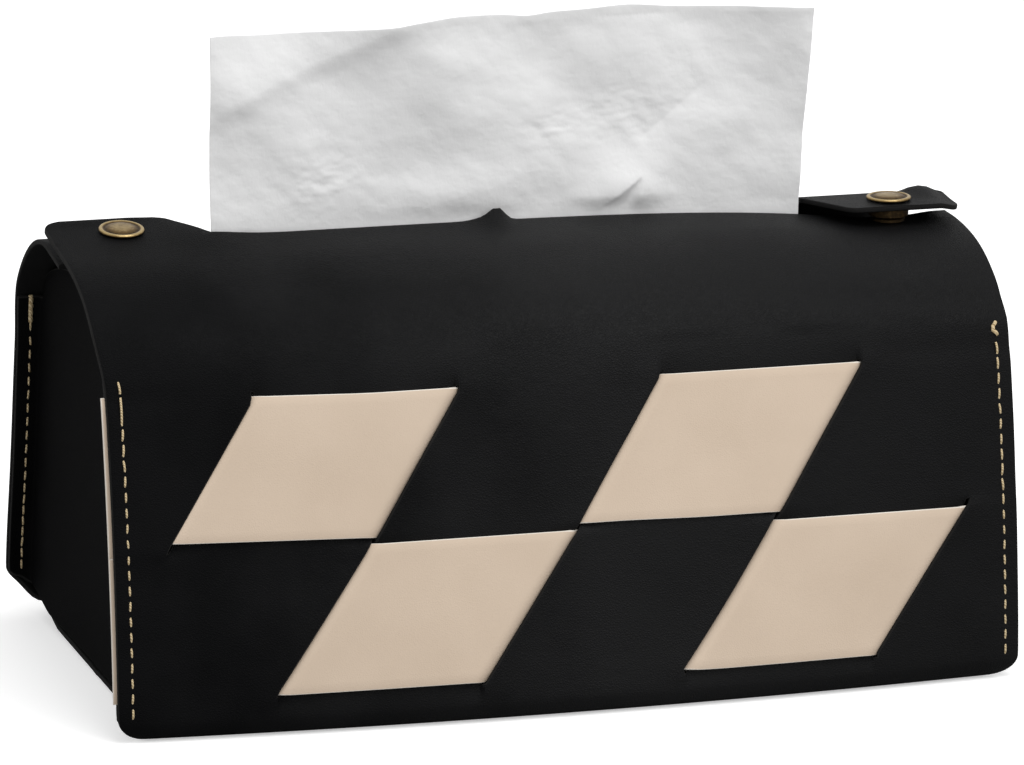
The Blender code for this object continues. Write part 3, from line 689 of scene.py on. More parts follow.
def front_push(x, zone, share):
    """Relief of the front: the weave, soft dents beside it and the kink of its lip."""
    if zone == "wall":
        dent = bell(share, *WALL_DENT) * (ramp(x, *LEFT_DENT) + ramp(x, *RIGHT_DENT))
        wave = crumple(x, share, WALL_HOLLOW, 1.0) * ramp(share, 0.0, 0.012)
        return lift(x, share) - DENT * dent + WALL_WAVE * wave
    if zone == "roof":
        up = ROOF_LENGTH * share
        wave = crumple(x, WALL_LENGTH + up, ROOF_HOLLOW, 1.0) * (1 - share)
        creases = sin(CREASE_RATE * (x + CREASE_LEAN * up))
        creases *= bell(x, *CREASES_ALONG) * bell(share, *CREASES_UP)
        dent = bell(share, *ROOF_DENT) * ramp(x, *ROOF_DENT_RIGHT)
        return ROOF_WAVE * wave + CREASE * creases - DENT * dent
    if zone == "landing":
        return hills(x, LIP_KINKS) * share ** KINK_POWER
    return 0.0


front_grid = sheet_rows(FRONT, front_columns, front_push)
slit_cells = set()
for row, ((zone, low), (zone_after, high)) in enumerate(zip(ROWS, ROWS[1:])):
    if zone == zone_after == "wall":
        for start, (first, last) in zip(SLIT_STARTS, SLIT_ENDS):
            if low > SLIT_LEVELS[first] - 1e-6 and high < SLIT_LEVELS[last] + 1e-6:
                slit_cells.add((row, start))
print("Front grid:", front_grid.shape[:2], "with", len(slit_cells), "open cells")

# %% Make the front and the back sheet
TAB_LENGTH = 0.0157
TAB_WIDTH = 0.0412
TAB_TAPER = 0.0095
TAB_CORNER = 0.005
SOFT_EDGE = 0.0003
BEND_UNDER, BEND_OVER = 0.005, 0.12


def bend_over_hinge(piece, side):
    """Bake a sheet's placement into its mesh; the points just under and over the hinge are worked
    out but not used.
    """
    low = sheet_point(side, 0.0, "wall", WALL_LENGTH - BEND_UNDER)
    high = sheet_point(side, 0.0, "roof", BEND_OVER)
    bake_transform(piece)


def black_sheet(name, grid, side, left_out=()):
    """One half of the black sheet; its inner end and its tab's root meet other pieces squarely."""
    rows, columns = grid.shape[:2]
    near_tab = np.abs(grid[-1, :, 0] - side * LENGTH / 2) < TAB_WIDTH
    joined = list(range(columns)) + list((rows - 1) * columns + np.flatnonzero(near_tab))
    return thick_sheet(name, grid, SHEET, SOFT_EDGE, BLACK_LOOKS, joined, side == BACK, left_out)


front_sheet = black_sheet("front_leather_sheet", front_grid, FRONT, slit_cells)
back_columns = steps(110, -LENGTH / 2, LENGTH / 2)
back_grid = sheet_rows(BACK, lambda height: back_columns, lambda x, zone, share: 0.0)
back_sheet = black_sheet("back_leather_sheet", back_grid, BACK)
bend_over_hinge(front_sheet, FRONT)
bend_over_hinge(back_sheet, BACK)
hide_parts("body_sheet", "front_flap")
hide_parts("body_sheet", "back_flap")

# %% [markdown]
# ## The cream strips
# Each strip is one long band. Its path in and out of the slits is a wave along X: out in
# front of its own columns, back behind the others, and through the slits in between.

# %% Make the strips
STRIP_EDGE = 0.0002
# How far a strip stands out of the left and the right seam.
STRIP_ENDS = (0.0010, 0.0004)
# How far the rows are pulled out of line, each by two amounts, and where that changes along X.
UPPER_PULLS, LOWER_PULLS, PULL_CHANGE = (0.0018, 0.0005), (0.0005, -0.0006), (0.010, 0.030)
# In the seams the pull fades and the rows close up; the upper one's left end is drawn up.
PULL_FADE, CLOSED = (0.124, -0.008), (0.117, 0.005)
DRAWN_UP, DRAWN_RUN = 0.0037, (-0.113, -0.010)
# Directions are measured over this short way.
PROBE = 0.001


def strip_offset(x, height, upper):
    """How far a strip stands in front of the sheet's middle surface, negative behind it."""
    over, near = weave_at(x, height, upper)
    return -over * STRIP_LIFT * sin(pi / 2 * min(near / STRIP_RAMP, 1.0))


def strip_level(x, height, share, upper):
    """Height of a strip's point: pulled out of its straight line, and closed up in the seams."""
    meet = STRIP_SPACING / 2 * ramp(abs(x), *CLOSED)
    change = ramp(x, *PULL_CHANGE)
    if upper:
        left = clamp((slit_x(1, UPPER_FOOT) - x) / SLIT_PITCH)
        pull = UPPER_PULLS[0] * left + UPPER_PULLS[1] * (1 - change * (1 - share))
        height += meet * (share - 1.0) + DRAWN_UP * share * ramp(x, *DRAWN_RUN)
    else:
        pull = mix(*LOWER_PULLS, change)
        height += meet * share
    return height + pull * ramp(abs(x), *PULL_FADE)


def cream_strip(name, foot, upper, node):
    """A strip, woven through the front and sewn into both side seams."""
    rows = []
    for share in steps(14):
        height = foot + STRIP_WIDTH * share
        middle = [slit_x(number, height) for number in row_slits(upper)]
        ends = [-LENGTH / 2 - STRIP_ENDS[0]] + middle + [LENGTH / 2 + STRIP_ENDS[1]]
        knots = ends[:1]
        for low, high in zip(ends, ends[1:]):
            edge = min(2 * STRIP_RAMP, (high - low) * 0.3)
            knots += [low + edge, high - edge, high]
        xs = through(knots, (7, 8, 7) * (len(ends) - 1))
        row = []
        for x in xs:
            level = strip_level(x, height, share, upper)
            here, ahead, above = (Vector(sheet_point(FRONT, x + right, "wall", level + up))
                                  for right, up in ((0, 0), (PROBE, 0), (0, PROBE)))
            out = (ahead - here).cross(above - here).normalized()
            row.append(here + out * strip_offset(x, height, upper))
        rows.append(row)
    made = thick_sheet(name, rows, STRIP, STRIP_EDGE, CREAM_LOOKS)
    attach(made, "cover")
    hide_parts(node)


cream_strip("upper_cream_strip", UPPER_FOOT, True, "upper_weave_strip")
cream_strip("lower_cream_strip", LOWER_FOOT, False, "lower_weave_strip")

# %% [markdown]
# ## The end gussets
# An end is closed by a panel of the same leather, given less sheen and more roughness so that
# it reads darker: painted shade. Its sides are folded outward into narrow flanges, which are
# sewn to the front and the back. Its top edge is arched.

# %% Sizes of a gusset
FLANGE = 0.0075
PANEL_X = LENGTH / 2 - FLANGE
GUSSET_FOLD = 0.0015
GUSSET_BOW = 0.0016
ARCH_RISE = 0.016
ARCH_POWER = 0.38
ARCH_START = 0.75
GUSSET_FOOT = 0.62
GUSSET_INSET = 0.0003
GUSSET_EDGE = 0.00025
SEAM_TOP = WALL_LENGTH - 0.002


def flange_points(side, end, zone, share):
    """A flange at one level, along the sheet's inner face, from its edge to its fold."""
    inset = SHEET / 2 + GAP + GUSSET / 2 + (STRIP + GAP if side == FRONT else 0.0)
    fold = PANEL_X + GUSSET_FOLD
    edge = max(sheet_edge(zone, share) - GUSSET_INSET, fold + GUSSET_FOLD / 2)
    row = []
    for x in steps(5, edge, fold):
        here = Vector(sheet_point(side, end * x, zone, share))
        ahead = Vector(sheet_point(side, end * x, zone, share + 0.0005)) - here
        out = Vector((0.0, ahead.z, -ahead.y)).normalized()
        row.append(here + out * (-inset if side * out.y > 0 else inset))
    return row


def gusset_level(end, zone, share):
    """One level of a gusset: flange, fold, panel, fold, flange."""
    fronts, backs = (flange_points(side, end, zone, share) for side in (FRONT, BACK))
    up = (fronts[-1].z + backs[-1].z) / 2
    climb = clamp((share / WALL_LENGTH - ARCH_START) / (1 - ARCH_START)) if zone == "wall" else 0.0
    folds = []
    for start, way in ((fronts[-1].y, GUSSET_FOLD), (backs[-1].y, -GUSSET_FOLD)):
        folds.append([Vector((end * (PANEL_X + GUSSET_FOLD * (1 - sin(turn))),
                              start + way * (1 - cos(turn)), up))
                      for turn in steps(4, 0.0, pi / 2)[1:-1]])
    panel = []
    for step in steps(40):
        arch = 4 * step * (1 - step)
        y = mix(fronts[-1].y + GUSSET_FOLD, backs[-1].y - GUSSET_FOLD, step)
        x = end * (PANEL_X - GUSSET_BOW * arch)
        panel.append(Vector((x, y, up + ARCH_RISE * arch ** ARCH_POWER * climb)))
    row = fronts + folds[0] + panel + folds[1][::-1] + backs[::-1]
    return [settle(BACK, point) for point in row]


def gusset(name, end, node):
    """An end panel with its two sewn flanges."""
    levels = [gusset_level(end, "fold", share) for share in steps(5, GUSSET_FOOT, 1.0)]
    levels += [gusset_level(end, "wall", height) for height in steps(48, 0.0, SEAM_TOP)[1:]]
    made = thick_sheet(name, levels, GUSSET, GUSSET_EDGE, SHADED_END_LOOKS, flip=end == LEFT)
    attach(made, "cover")
    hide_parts(node)


gusset("left_leather_gusset", LEFT, "left_gusset")
gusset("right_leather_gusset", RIGHT, "right_gusset")

# %% [markdown]
# ## The tabs
# Each flap ends in a tab that is snapped over the other flap. The tab has rounded corners,
# and its inner side slants towards the tip. It starts exactly where the flap's landing ends,
# so the two look like one sheet.

# %% Make the tabs
TAB_TURN = pi / 2 - atan2(TAB_TAPER, TAB_LENGTH)
TAB_NECK = TAB_WIDTH - TAB_TAPER - TAB_CORNER * tan(TAB_TURN / 2)
TAB_COLUMNS = 36


def tab_place(side):
    """Place of a tab's root at the cover's end, with its reach along local Y."""
    slope = -side * TAB_TILT[side]
    reach = Vector((0, -side * cos(slope), sin(slope)))
    root = Vector((side * LENGTH / 2, side * SLOT / 2, LIP_HEIGHT))
    across = Vector((-side, 0, 0))
    turned_to = Matrix((across, reach, across.cross(reach))).transposed().to_4x4()
    return Matrix.Translation(root) @ turned_to


def tab_sides(reach):
    """Where a tab's two sides are at a reach from the root, from the cover's end inward."""
    past = clamp((reach - TAB_LENGTH + TAB_CORNER) / TAB_CORNER)
    rounded = TAB_CORNER * sqrt(1 - past ** 2)
    if past < cos(TAB_TURN):
        return TAB_CORNER - rounded, TAB_WIDTH - TAB_TAPER * reach / TAB_LENGTH
    return TAB_CORNER - rounded, TAB_NECK + rounded


def tab(name, side, node):
    """A tab with rounded corners, joined to its flap at the root."""
    place = tab_place(side)
    turns = steps(9, 0.0, pi / 2)[1:]
    levels = steps(8, 0.0, TAB_LENGTH - TAB_CORNER)
    levels += [TAB_LENGTH - TAB_CORNER * (1 - sin(turn)) for turn in turns]
    levels[-1] = TAB_LENGTH - 0.00001
    grid = []
    for reach in levels:
        xs = steps(TAB_COLUMNS, *tab_sides(reach))
        grid.append([settle(side, place @ Vector((x, reach, 0.0))) for x in xs])
    made = thick_sheet(name, grid, SHEET, SOFT_EDGE, BLACK_LOOKS, list(range(TAB_COLUMNS + 1)),
                       flip=(place.to_3x3() @ Vector((0, 0, 1))).z < 0)
    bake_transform(made)
    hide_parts(node)


tab("left_leather_tab", LEFT, "left_tab")
tab("right_leather_tab", RIGHT, "right_tab")

# %% [markdown]
# ## The snaps
# The caps are turned parts: a bright rim, a groove that holds dark patina and a low dome. We
# turn a profile round the snap's axis. The rings, studs and posts of the CAD keep their
# shape and get the same brass.

# %% Make the snap caps
# Each point of the profile is a radius, a height and how much hands have rubbed it.
CAP_PROFILE = [
    (0.0, 0.00228, 0.40), (0.0012, 0.00226, 0.44), (0.0024, 0.00219, 0.40), (0.0034, 0.00207, 0.30),
    (0.0041, 0.00190, 0.10), (0.00445, 0.00172, 0.0), (0.00475, 0.00164, 0.0),
    (0.0050, 0.00172, 0.20), (0.0053, 0.00188, 0.62), (0.0057, 0.00188, 0.70),
    (0.0060, 0.00172, 0.50), (0.0062, 0.00142, 0.20), (0.0061, 0.00116, 0.0),
    (0.0058, 0.00102, 0.0), (0.0015, 0.00100, 0.0), (0.0015, -0.0013, 0.0), (0.0, -0.0013, 0.0)]
CAP_TURNS = 48
CAP_SHARP_ANGLE = radians(60)


def snap_place(side):
    """Place of a snap on a tab's middle surface, with Z up out of the tab."""
    centre = tab_place(side) @ Vector((SNAP_INSET, SNAP_REACH[side] + GAP, 0))
    return Matrix.Translation(centre) @ Matrix.Rotation(TAB_TILT[side], 4, "X")


def turned(name, profile, place):
    """Round brass piece from a profile."""
    bm = bmesh.new()
    wear = bm.verts.layers.float.new("rubbed")
    rings = []
    for radius, height, rubbed in profile:
        angles = [0.0] if radius == 0.0 else steps(CAP_TURNS, 0.0, 2 * pi)[:-1]
        points = [Vector((radius * cos(a), radius * sin(a), height)) for a in angles]
        ring = [bm.verts.new(place @ point) for point in points]
        for vert in ring:
            vert[wear] = rubbed
        rings.append(ring if len(ring) == CAP_TURNS else ring * CAP_TURNS)
    for upper, lower in zip(rings, rings[1:]):
        for step in range(CAP_TURNS):
            after = (step + 1) % CAP_TURNS
            corners = dict.fromkeys((upper[step], lower[step], lower[after], upper[after]))
            bm.faces.new(list(corners))
    bmesh.ops.recalc_face_normals(bm, faces=bm.faces)
    mesh = bpy.data.meshes.new(name)
    bm.to_mesh(mesh)
    bm.free()
    mesh.materials.append(BRASS)
    mesh.shade_smooth()
    mesh.set_sharp_from_angle(angle=CAP_SHARP_ANGLE)
    return new_object(name, mesh)


for end_name, side in (("left", LEFT), ("right", RIGHT)):
    cap = turned(end_name + "_brass_cap", CAP_PROFILE, snap_place(side))
    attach(cap, end_name + "_tab")
    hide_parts(end_name + "_snap_cap")
for name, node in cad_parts.items():
    if "snap" in name and not node.hide_render:
        node.data.materials.clear()
        node.data.materials.append(BRASS)
        node.data.shade_smooth()
print("Snap caps are", 2000 * max(radius for radius, _, _ in CAP_PROFILE), "mm across")

# %% [markdown]
# ## The seams
# Stitches repeat along a path, which is what Geometry Nodes is good at. We give it a mesh of
# points with three stored values each: the way along the seam, the way out of the leather
# and the stitch's size. The tree bends one thread, puts it on every point and realises it.


# %% Helpers for trees of Geometry Nodes
def start_tree(name, look, *sizes):
    """New tree with inputs for geometry, sizes, a seed and a material, and their sockets."""
    tree = bpy.data.node_groups.new(name, "GeometryNodeTree")
    kinds = {"Geometry": "Geometry", **dict.fromkeys(sizes, "Float")}
    kinds.update({"Seed": "Int", look: "Material"})
    for label, kind in kinds.items():
        tree.interface.new_socket(label, in_out="INPUT", socket_type="NodeSocket" + kind)
    tree.interface.new_socket("Geometry", in_out="OUTPUT", socket_type="NodeSocketGeometry")
    return tree, tree.nodes.new("NodeGroupInput").outputs


def end_tree(tree, points, piece, look, *inputs):
    """Put a piece on every point, realise the pieces and give them their material."""
    put = add_node(tree, "GeometryNodeInstanceOnPoints",
                   ("Points", points), ("Instance", piece), *inputs)
    real = add_node(tree, "GeometryNodeRealizeInstances", ("Geometry", put.outputs[0]))
    paint = add_node(tree, "GeometryNodeSetMaterial",
                     ("Geometry", real.outputs[0]), ("Material", look))
    add_node(tree, "NodeGroupOutput", ("Geometry", paint.outputs[0]))
    return tree


def times(tree, socket, factor):
    """A socket's value times a factor."""
    made = add_node(tree, "ShaderNodeMath", (0, socket), (1, factor), operation="MULTIPLY")
    return made.outputs[0]


def vector(tree, **parts):
    """A vector from its X, Y and Z."""
    return add_node(tree, "ShaderNodeCombineXYZ", *parts.items()).outputs[0]


def run_tree(name, points, attributes, tree, values):
    """Make a mesh of points, run a node tree on it and keep the result as a plain mesh."""
    mesh = bpy.data.meshes.new(name + "_points")
    mesh.from_pydata([tuple(point) for point in points], [], [])
    for key, rows in attributes.items():
        made = mesh.attributes.new(key, "FLOAT_VECTOR", "POINT")
        made.data.foreach_set("vector", np.array(rows, float).ravel())
    source = new_object(name, mesh)
    modifier = source.modifiers.new("nodes", "NODES")
    modifier.node_group = tree
    for item in tree.interface.items_tree:
        if item.item_type == "SOCKET" and item.in_out == "INPUT" and item.name in values:
            modifier[item.identifier] = values[item.name]
    bpy.context.view_layer.update()
    evaluated = source.evaluated_get(bpy.context.evaluated_depsgraph_get())
    result = bpy.data.meshes.new_from_object(evaluated)
    source.modifiers.clear()
    source.data = result
    result.name = name
    result.shade_smooth()
    for key in attributes:
        if key in result.attributes:
            result.attributes.remove(result.attributes[key])
    print(name, "has", len(result.polygons), "faces")
    return source


# %% Build the stitch tree
THREAD_SIDES = 7


def stitch_tree():
    """Node tree that puts a bent thread on every point of a seam."""
    tree, given = start_tree("sewn_stitches", "Thread",
                             "Stitch Length", "Thread Radius", "Rise", "Sink", "Wander")

    def stored(name):
        return add_node(tree, "GeometryNodeInputNamedAttribute", ("Name", name),
                        data_type="FLOAT_VECTOR").outputs["Attribute"]

    half, low = times(tree, given["Stitch Length"], 0.5), times(tree, given["Sink"], -1.0)
    bend = add_node(tree, "GeometryNodeCurveQuadraticBezier", ("Resolution", THREAD_SIDES),
                    ("Start", vector(tree, X=times(tree, half, -1.0), Z=low)),
                    ("Middle", vector(tree, Z=times(tree, given["Rise"], 2.0))),
                    ("End", vector(tree, X=half, Z=low)))
    ring = add_node(tree, "GeometryNodeCurvePrimitiveCircle", ("Resolution", THREAD_SIDES),
                    ("Radius", given["Thread Radius"]))
    tube = add_node(tree, "GeometryNodeCurveToMesh", ("Curve", bend.outputs["Curve"]),
                    ("Profile Curve", ring.outputs["Curve"]), ("Fill Caps", True))
    along = add_node(tree, "FunctionNodeAlignRotationToVector",
                     ("Vector", stored("along")), axis="X")
    out = add_node(tree, "FunctionNodeAlignRotationToVector", ("Rotation", along.outputs[0]),
                   ("Vector", stored("out")), axis="Z", pivot_axis="X")
    chance = add_node(tree, "FunctionNodeRandomValue", (2, times(tree, given["Wander"], -1.0)),
                      (3, given["Wander"]), ("Seed", given["Seed"]), data_type="FLOAT")
    spin = add_node(tree, "FunctionNodeAxisAngleToRotation",
                    ("Axis", (0.0, 0.0, 1.0)), ("Angle", chance.outputs[1]))
    turn = add_node(tree, "FunctionNodeRotateRotation", ("Rotation", out.outputs[0]),
                    ("Rotate By", spin.outputs[0]), rotation_space="LOCAL")
    return end_tree(tree, given["Geometry"], tube.outputs["Mesh"], given["Thread"],
                    ("Rotation", turn.outputs[0]), ("Scale", stored("size")))


STITCHES = stitch_tree()
print("Stitch tree has", len(STITCHES.nodes), "nodes")

# %% Run the tree along each seam
SEAM_MARGIN = 0.0039
STITCH_PITCH = 0.00408
STITCH_VALUES = {"Stitch Length": 0.0030, "Thread Radius": 0.00031, "Rise": 0.0003, "Sink": 0.0004,
                 "Wander": 0.09, "Seed": 7, "Thread": THREAD}
# Sizes of a stitch, as its length, width and height against a plain one's.
PLAIN_SIZE, LONG_SIZE = (1.0, 1.0, 1.0), (2.3, 1.0, 1.0)
BAR_SIZE, KNOT_SIZE = (0.9, 2.2, 1.5), (0.62, 1.7, 1.5)
BAR_START, BAR_PITCH, BAR_TURNS = 0.0012, 0.0021, 4
# The knot's three short stitches: shift up the seam, shift along X and lean.
KNOT_START = 0.0008
KNOT = ((0.0012, 0.0, 0.9), (0.0, -0.0006, 0.0), (-0.0012, 0.0, -0.9))


def seam_frame(side, end, height, hidden):
    """Place, way along and way out at a height of a seam, on the sheet's or the flange's face."""
    x = end * (LENGTH / 2 - SEAM_MARGIN)
    here, ahead = (Vector(settle(side, sheet_point(side, x, "wall", level)))
                   for level in (height, height + PROBE))
    along = (ahead - here).normalized()
    out = Vector((0.0, side, 0.0))
    out = (out - out.dot(along) * along).normalized()
    if not hidden:
        return here + out * SHEET / 2, along, out
    depth = SHEET / 2 + GAP + GUSSET + (STRIP + GAP if side == FRONT else 0.0)
    return here - out * depth, along, -out


def seam_stitches(side, end, hidden):
    """Place, way along, way out and size of every stitch on one face of a seam."""
    knotted = (side, end) == (FRONT, RIGHT)
    top = [] if knotted else [(0.5, PLAIN_SIZE), (2.0, LONG_SIZE)]
    rest = range(1 if knotted else 3, int(SEAM_TOP / STITCH_PITCH))
    rows = [(*seam_frame(side, end, SEAM_TOP - pitches * STITCH_PITCH, hidden), size)
            for pitches, size in top + [(step + 0.5, PLAIN_SIZE) for step in rest]]
    if knotted:
        here, along, out = seam_frame(side, end, SEAM_TOP - KNOT_START, hidden)
        for rise, shift, lean in KNOT:
            place = here + rise * along + Vector((shift, 0.0, 0.0))
            rows.append((place, (along + Vector((lean, 0.0, 0.0))).normalized(), out, KNOT_SIZE))
    if side == BACK:
        for turn in range(BAR_TURNS):
            height = SEAM_TOP - BAR_START - BAR_PITCH * turn
            rows.append((*seam_frame(side, end, height, hidden), BAR_SIZE))
    return rows


def seam(name, side, end, node):
    """Stitches on both faces of a seam. The second one is long, unless a knot stands above."""
    rows = seam_stitches(side, end, False) + seam_stitches(side, end, True)
    places, alongs, outs, sizes = zip(*rows)
    attributes = {"along": alongs, "out": outs, "size": sizes}
    made = run_tree(name, places, attributes, STITCHES, STITCH_VALUES)
    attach(made, "cover")
    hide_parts(node)


for side_name, side in (("front", FRONT), ("back", BACK)):
    for end_name, end in (("left", LEFT), ("right", RIGHT)):
        seam(f"{side_name}_{end_name}_stitches", side, end, f"{side_name}_{end_name}_seam_thread")

# %% [markdown]
# ## The tissues
# A pack of folded tissues fills the cover, and the top one stands up through the slot. Paper
# this thin bends in broad soft waves and a few sharp folds. A cloth simulation would give
# other folds each time it is tuned, so we shape the standing tissue by formula.

# %% Make the standing tissue
TISSUE_WIDTH = 0.1655
TISSUE_CENTRE = -0.0003
TISSUE_SHOWN = 0.053
TISSUE_SPREAD = 0.0045
TISSUE_COLUMNS = 300
TISSUE_SWAY = 0.0026
PAPER_SHEET, PAPER_EDGE = 0.0003, 0.00005
PACK_HEIGHT = 0.070
STACK_TOP = SHEET + GAP + PACK_HEIGHT
TISSUE_FOOT = STACK_TOP + 0.0006
LYING, LYING_ROWS = 0.030, 20
FINE_FROM = 0.46
# The upper edge is uneven, as a torn-off fold is: a bow, a rise to the right and small hills.
EDGE_BOW, EDGE_RISE = 0.0036, 0.0019
EDGE_HILLS = ((0.0010, 0.0, 0.07), (0.0009, 0.40, 0.07),
              (-0.0007, 0.53, 0.03), (0.0010, 0.70, 0.06))
# Small crumpling of the paper: height, stretch, size and seed.
CRUMPLING = ((0.0011, 0.0, 0.027, 3.0), (0.00026, 0.4, 0.0095, 8.0),
             (0.00004, 0.0, 0.0032, 12.0))
# Fold lines seen on the tissue: two ends in metres along it and above the lip, how far the
# fold stands forward, its run below and above, and 1 for a sharp fold or 2 for a soft one.
FOLD_LINES = (((0.000, 0.0330), (0.054, 0.0575), 0.0016, 0.0042, 0.0110, 2),
              ((0.052, 0.0570), (0.168, 0.0575), 0.0007, 0.0045, 0.0045, 2))
VALLEY = ((0.120, 0.020), (0.137, 0.0345), 0.0006, 0.0035, 0.0070, 1)
# A pleat beside the lip is a triangle under these two lines.
PLEAT_LINES = ((0.106, 0.0), (0.1205, 0.0105)), ((0.1205, 0.0105), (0.1185, 0.0))
PLEAT_EDGE = 0.0024
# Hills of the pleat and of a soft bulge: height, middle along and above the lip, and widths.
PLEAT_SWELL = (0.0024, 0.1150, 0.0065, 0.0130, 0.0095)
BULGE = (0.0011, 0.068, 0.0075, 0.018, 0.0060)
# Pressed patches, as hills of the same kind, and their creases' height, size, seed and stretch.
PRESSED = ((1.0, 0.031, 0.014, 0.010, 0.008), (1.0, 0.115, 0.028, 0.017, 0.008),
           (1.0, 0.093, 0.024, 0.007, 0.004))
PRESSED_CREASE, PRESSED_STRETCH = (0.00027, 0.0042, 21.0), 1.4


def tissue_top(across):
    """Height of the tissue's upper edge above the lip."""
    bow = EDGE_BOW * sin(pi * across ** 1.3)
    return TISSUE_SHOWN + bow + EDGE_RISE * ramp(across, 0.72, 0.28) + hills(across, EDGE_HILLS)


def mound(point, height, along, above, wide, tall):
    """Smooth hill over a point of the tissue."""
    return height * bell(point[0], along, wide) * bell(point[1], above, tall)


def line_distance(point, start, end):
    """Signed distance from a line between two points, and the share of the way along it."""
    run, rise = end[0] - start[0], end[1] - start[1]
    length = hypot(run, rise)
    share = ((point[0] - start[0]) * run + (point[1] - start[1]) * rise) / length ** 2
    return ((point[0] - start[0]) * rise - (point[1] - start[1]) * run) / length, share


def crease(point, start, end, depth, below, above, power):
    """A fold line, sharp or soft, with a run on each side; it fades at both ends."""
    away, share = line_distance(point, start, end)
    slope = (abs(away) / (below if away > 0 else above)) ** power
    return depth * exp(-slope) * ramp(share, -0.1, 0.2) * ramp(share, 1.1, -0.2)


def pleat(point):
    """The paper swells forward round a pleat and drops back inside its triangle."""
    inside = min(line_distance(point, *line)[0] for line in PLEAT_LINES)
    return mound(point, *PLEAT_SWELL) * exp(-max(inside, 0.0) / PLEAT_EDGE)


def tissue_point(across, rise):
    """Point of the tissue; rise is 0 at the pack and 1 at the upper edge."""
    up = mix(TISSUE_FOOT, LIP_HEIGHT + tissue_top(across), rise)
    shown = up - LIP_HEIGHT
    above = clamp((shown - SHEET) / TISSUE_SHOWN)
    along = across * TISSUE_WIDTH
    point = (along, shown)
    x = TISSUE_CENTRE + (across - 0.5) * TISSUE_WIDTH
    x += TISSUE_SPREAD * above * max(0.0, across - 0.5)
    # A long wave runs along the tissue, with a shorter one that drifts as the tissue rises.
    sway = sin(3.2 * pi * across + 1.0) + 0.5 * sin(6.1 * pi * across + 5.0 * above)
    relief = sum(height * crumple(along + stretch * shown, shown, scale, seed)
                 for height, stretch, scale, seed in CRUMPLING)
    relief *= mix(0.6, 1.0, ramp(shown, 0.001, 0.008)) * ramp(up, TISSUE_FOOT, 0.012)
    pressed = sum(mound(point, *patch) for patch in PRESSED)
    height, scale, seed = PRESSED_CREASE
    folded = height * crumple(along, PRESSED_STRETCH * shown, scale, seed) * pressed
    folded += crease(point, *VALLEY) - max(crease(point, *fold) for fold in FOLD_LINES)
    folded -= pleat(point) + mound(point, *BULGE)
    return x, TISSUE_SWAY * above * sway + relief + folded * ramp(shown, -0.0005, 0.006), up


ACROSS = steps(TISSUE_COLUMNS)
tissue_grid = []
for step in range(LYING_ROWS, 0, -1):
    y = LYING * step / LYING_ROWS
    tissue_grid.append([(TISSUE_CENTRE + (across - 0.5) * TISSUE_WIDTH, y, TISSUE_FOOT)
                        for across in ACROSS])
for rise in through((0.0, FINE_FROM, 1.0), (40, 150)):
    tissue_grid.append([tissue_point(across, rise) for across in ACROSS])
tissue = thick_sheet("standing_tissue", tissue_grid, PAPER_SHEET, PAPER_EDGE, (PAPER,) * 3)
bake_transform(tissue)
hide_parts("tissue_sheet")

# %% Make the pack of tissues
LEAVES = 28
LEAF = PACK_HEIGHT / LEAVES


def leaf_tree():
    """Node tree that piles one folded leaf as often as asked, each a little out of line."""
    tree, given = start_tree("piled_leaves", "Paper",
                             "Leaf Length", "Leaf Depth", "Leaf Height", "Wander")
    size = vector(tree, X=given["Leaf Length"], Y=given["Leaf Depth"], Z=given["Leaf Height"])
    block = add_node(tree, "GeometryNodeMeshCube", ("Size", size),
                     ("Vertices X", 14), ("Vertices Y", 9), ("Vertices Z", 3))
    soft = add_node(tree, "GeometryNodeSubdivisionSurface",
                    ("Mesh", block.outputs["Mesh"]), ("Level", 1))
    least, most = times(tree, given["Wander"], -1.0), given["Wander"]
    chance = add_node(tree, "FunctionNodeRandomValue", (0, vector(tree, X=least, Y=least)),
                      (1, vector(tree, X=most, Y=most)), ("Seed", given["Seed"]),
                      data_type="FLOAT_VECTOR")
    shift = add_node(tree, "GeometryNodeSetPosition",
                     ("Geometry", given["Geometry"]), ("Offset", chance.outputs[0]))
    return end_tree(tree, shift.outputs["Geometry"], soft.outputs["Mesh"], given["Paper"])


leaf_places = [(TISSUE_CENTRE, 0.0, SHEET + GAP + LEAF * (leaf + 0.5)) for leaf in range(LEAVES)]
leaf_values = {"Leaf Length": TISSUE_WIDTH + 0.001, "Leaf Depth": 0.099, "Leaf Height": LEAF * 0.98,
               "Wander": 0.0005, "Seed": 3, "Paper": PAPER}
pack = run_tree("folded_tissue_pack", leaf_places, {}, leaf_tree(), leaf_values)
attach(pack, "cover")
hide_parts("tissue_stack")

# %% [markdown]
# ## Studio
# The photograph is a product shot: a pale floor that fades to white and a large soft lamp
# above. The floor looks white to the camera, yet it lights the cover at a plain level.

# %% Floor, backdrop and lamps
WHITE = (1.0, 1.0, 1.0, 1.0)
FLOOR_GLOW = 0.42
FLOOR_GREY = (0.42, 0.42, 0.42, 1.0)
FLOOR_HALF = 6
SKY_STRENGTH = 0.70


def white_floor():
    """Floor that is white to the camera, keeps the shadow and throws back only some light."""
    finish = Finish("studio_floor", 0.9, specular=0.0)
    finish.give(("Base Color", finish.ramp(finish.noise(3.0), (0.0, 0.96), (1.0, 0.98))),
                ("Emission Color", WHITE), ("Emission Strength", FLOOR_GLOW))
    plain = finish.node("ShaderNodeBsdfDiffuse", ("Color", FLOOR_GREY))
    seen = finish.node("ShaderNodeLightPath").outputs["Is Camera Ray"]
    either = finish.node("ShaderNodeMixShader", (0, seen), (1, plain.outputs[0]),
                         (2, finish.shader.outputs[0]))
    fill(finish.tree, finish.tree.nodes["Material Output"], [("Surface", either.outputs[0])])
    return finish.made


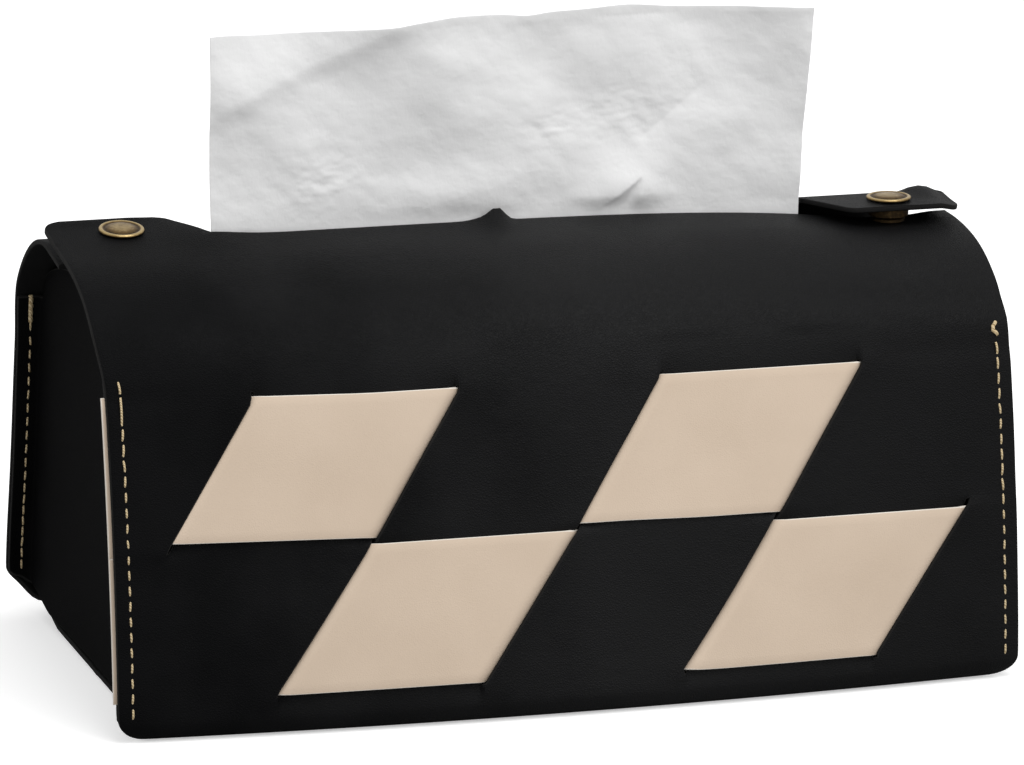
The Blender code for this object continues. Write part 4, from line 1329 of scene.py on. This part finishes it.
floor_mesh = bpy.data.meshes.new("floor")
corners = [(x * FLOOR_HALF, y * FLOOR_HALF, 0) for x, y in ((-1, -1), (1, -1), (1, 1), (-1, 1))]
floor_mesh.from_pydata(corners, [], [(0, 1, 2, 3)])
floor_mesh.materials.append(white_floor())
floor = new_object("floor", floor_mesh)

world = bpy.data.worlds.new("studio")
bpy.context.scene.world = world
world.use_nodes = True
sky = world.node_tree.nodes["Background"]
fill(world.node_tree, sky, [("Color", WHITE), ("Strength", SKY_STRENGTH)])


def lamp(name, place, size, power):
    """Large soft lamp that shines on the cover's middle."""
    light = bpy.data.lights.new(name, "AREA")
    light.size = size
    light.energy = power
    made = new_object(name, light)
    made.location = place
    made.rotation_mode = "QUATERNION"
    made.rotation_quaternion = (MIDDLE - Vector(place)).to_track_quat("-Z", "Y")


MIDDLE = Vector((0, 0, 0.060))
lamp("key", (0.2, -0.6, 1.6), 1.1, 12.0)
lamp("fill", (1.0, -1.4, 0.9), 1.2, 5.0)

# %% [markdown]
# ## Camera
# The camera stands where the photographer stood: a little to the left, somewhat above, and
# far away with a long lens, so that the cover's edges stay nearly parallel.

# %% Place the camera
AZIMUTH, ELEVATION, ROLL = radians(16.601), radians(14.053), radians(0.472)
DISTANCE = 2.100
PHOTO_WIDTH = 1024
FOCAL_PIXELS = 7718.1
SENSOR = 36.0
# Pixels from the cover's middle to the middle of the picture.
AIM = (-4.83, 49.87)
level = cos(ELEVATION)
look = Vector((sin(AZIMUTH) * level, cos(AZIMUTH) * level, -sin(ELEVATION)))
right = Vector((cos(AZIMUTH), -sin(AZIMUTH), 0.0))
up = right.cross(look)
right_turned = cos(ROLL) * right + sin(ROLL) * up
up_turned = -sin(ROLL) * right + cos(ROLL) * up
shift = DISTANCE / FOCAL_PIXELS
place = MIDDLE - look * DISTANCE - right_turned * AIM[0] * shift + up_turned * AIM[1] * shift
camera_data = bpy.data.cameras.new("camera")
camera_data.sensor_width = SENSOR
camera_data.lens = FOCAL_PIXELS / PHOTO_WIDTH * SENSOR
camera_data.clip_start, camera_data.clip_end = 0.1, 30.0
camera = new_object("camera", camera_data)
turn = Matrix((right_turned, up_turned, -look)).transposed().to_4x4()
camera.matrix_world = Matrix.Translation(place) @ turn
bpy.context.scene.camera = camera
bpy.context.scene.view_settings.view_transform = "Standard"
print("Lens", round(camera_data.lens, 1), "mm, camera at", [round(c, 3) for c in place])
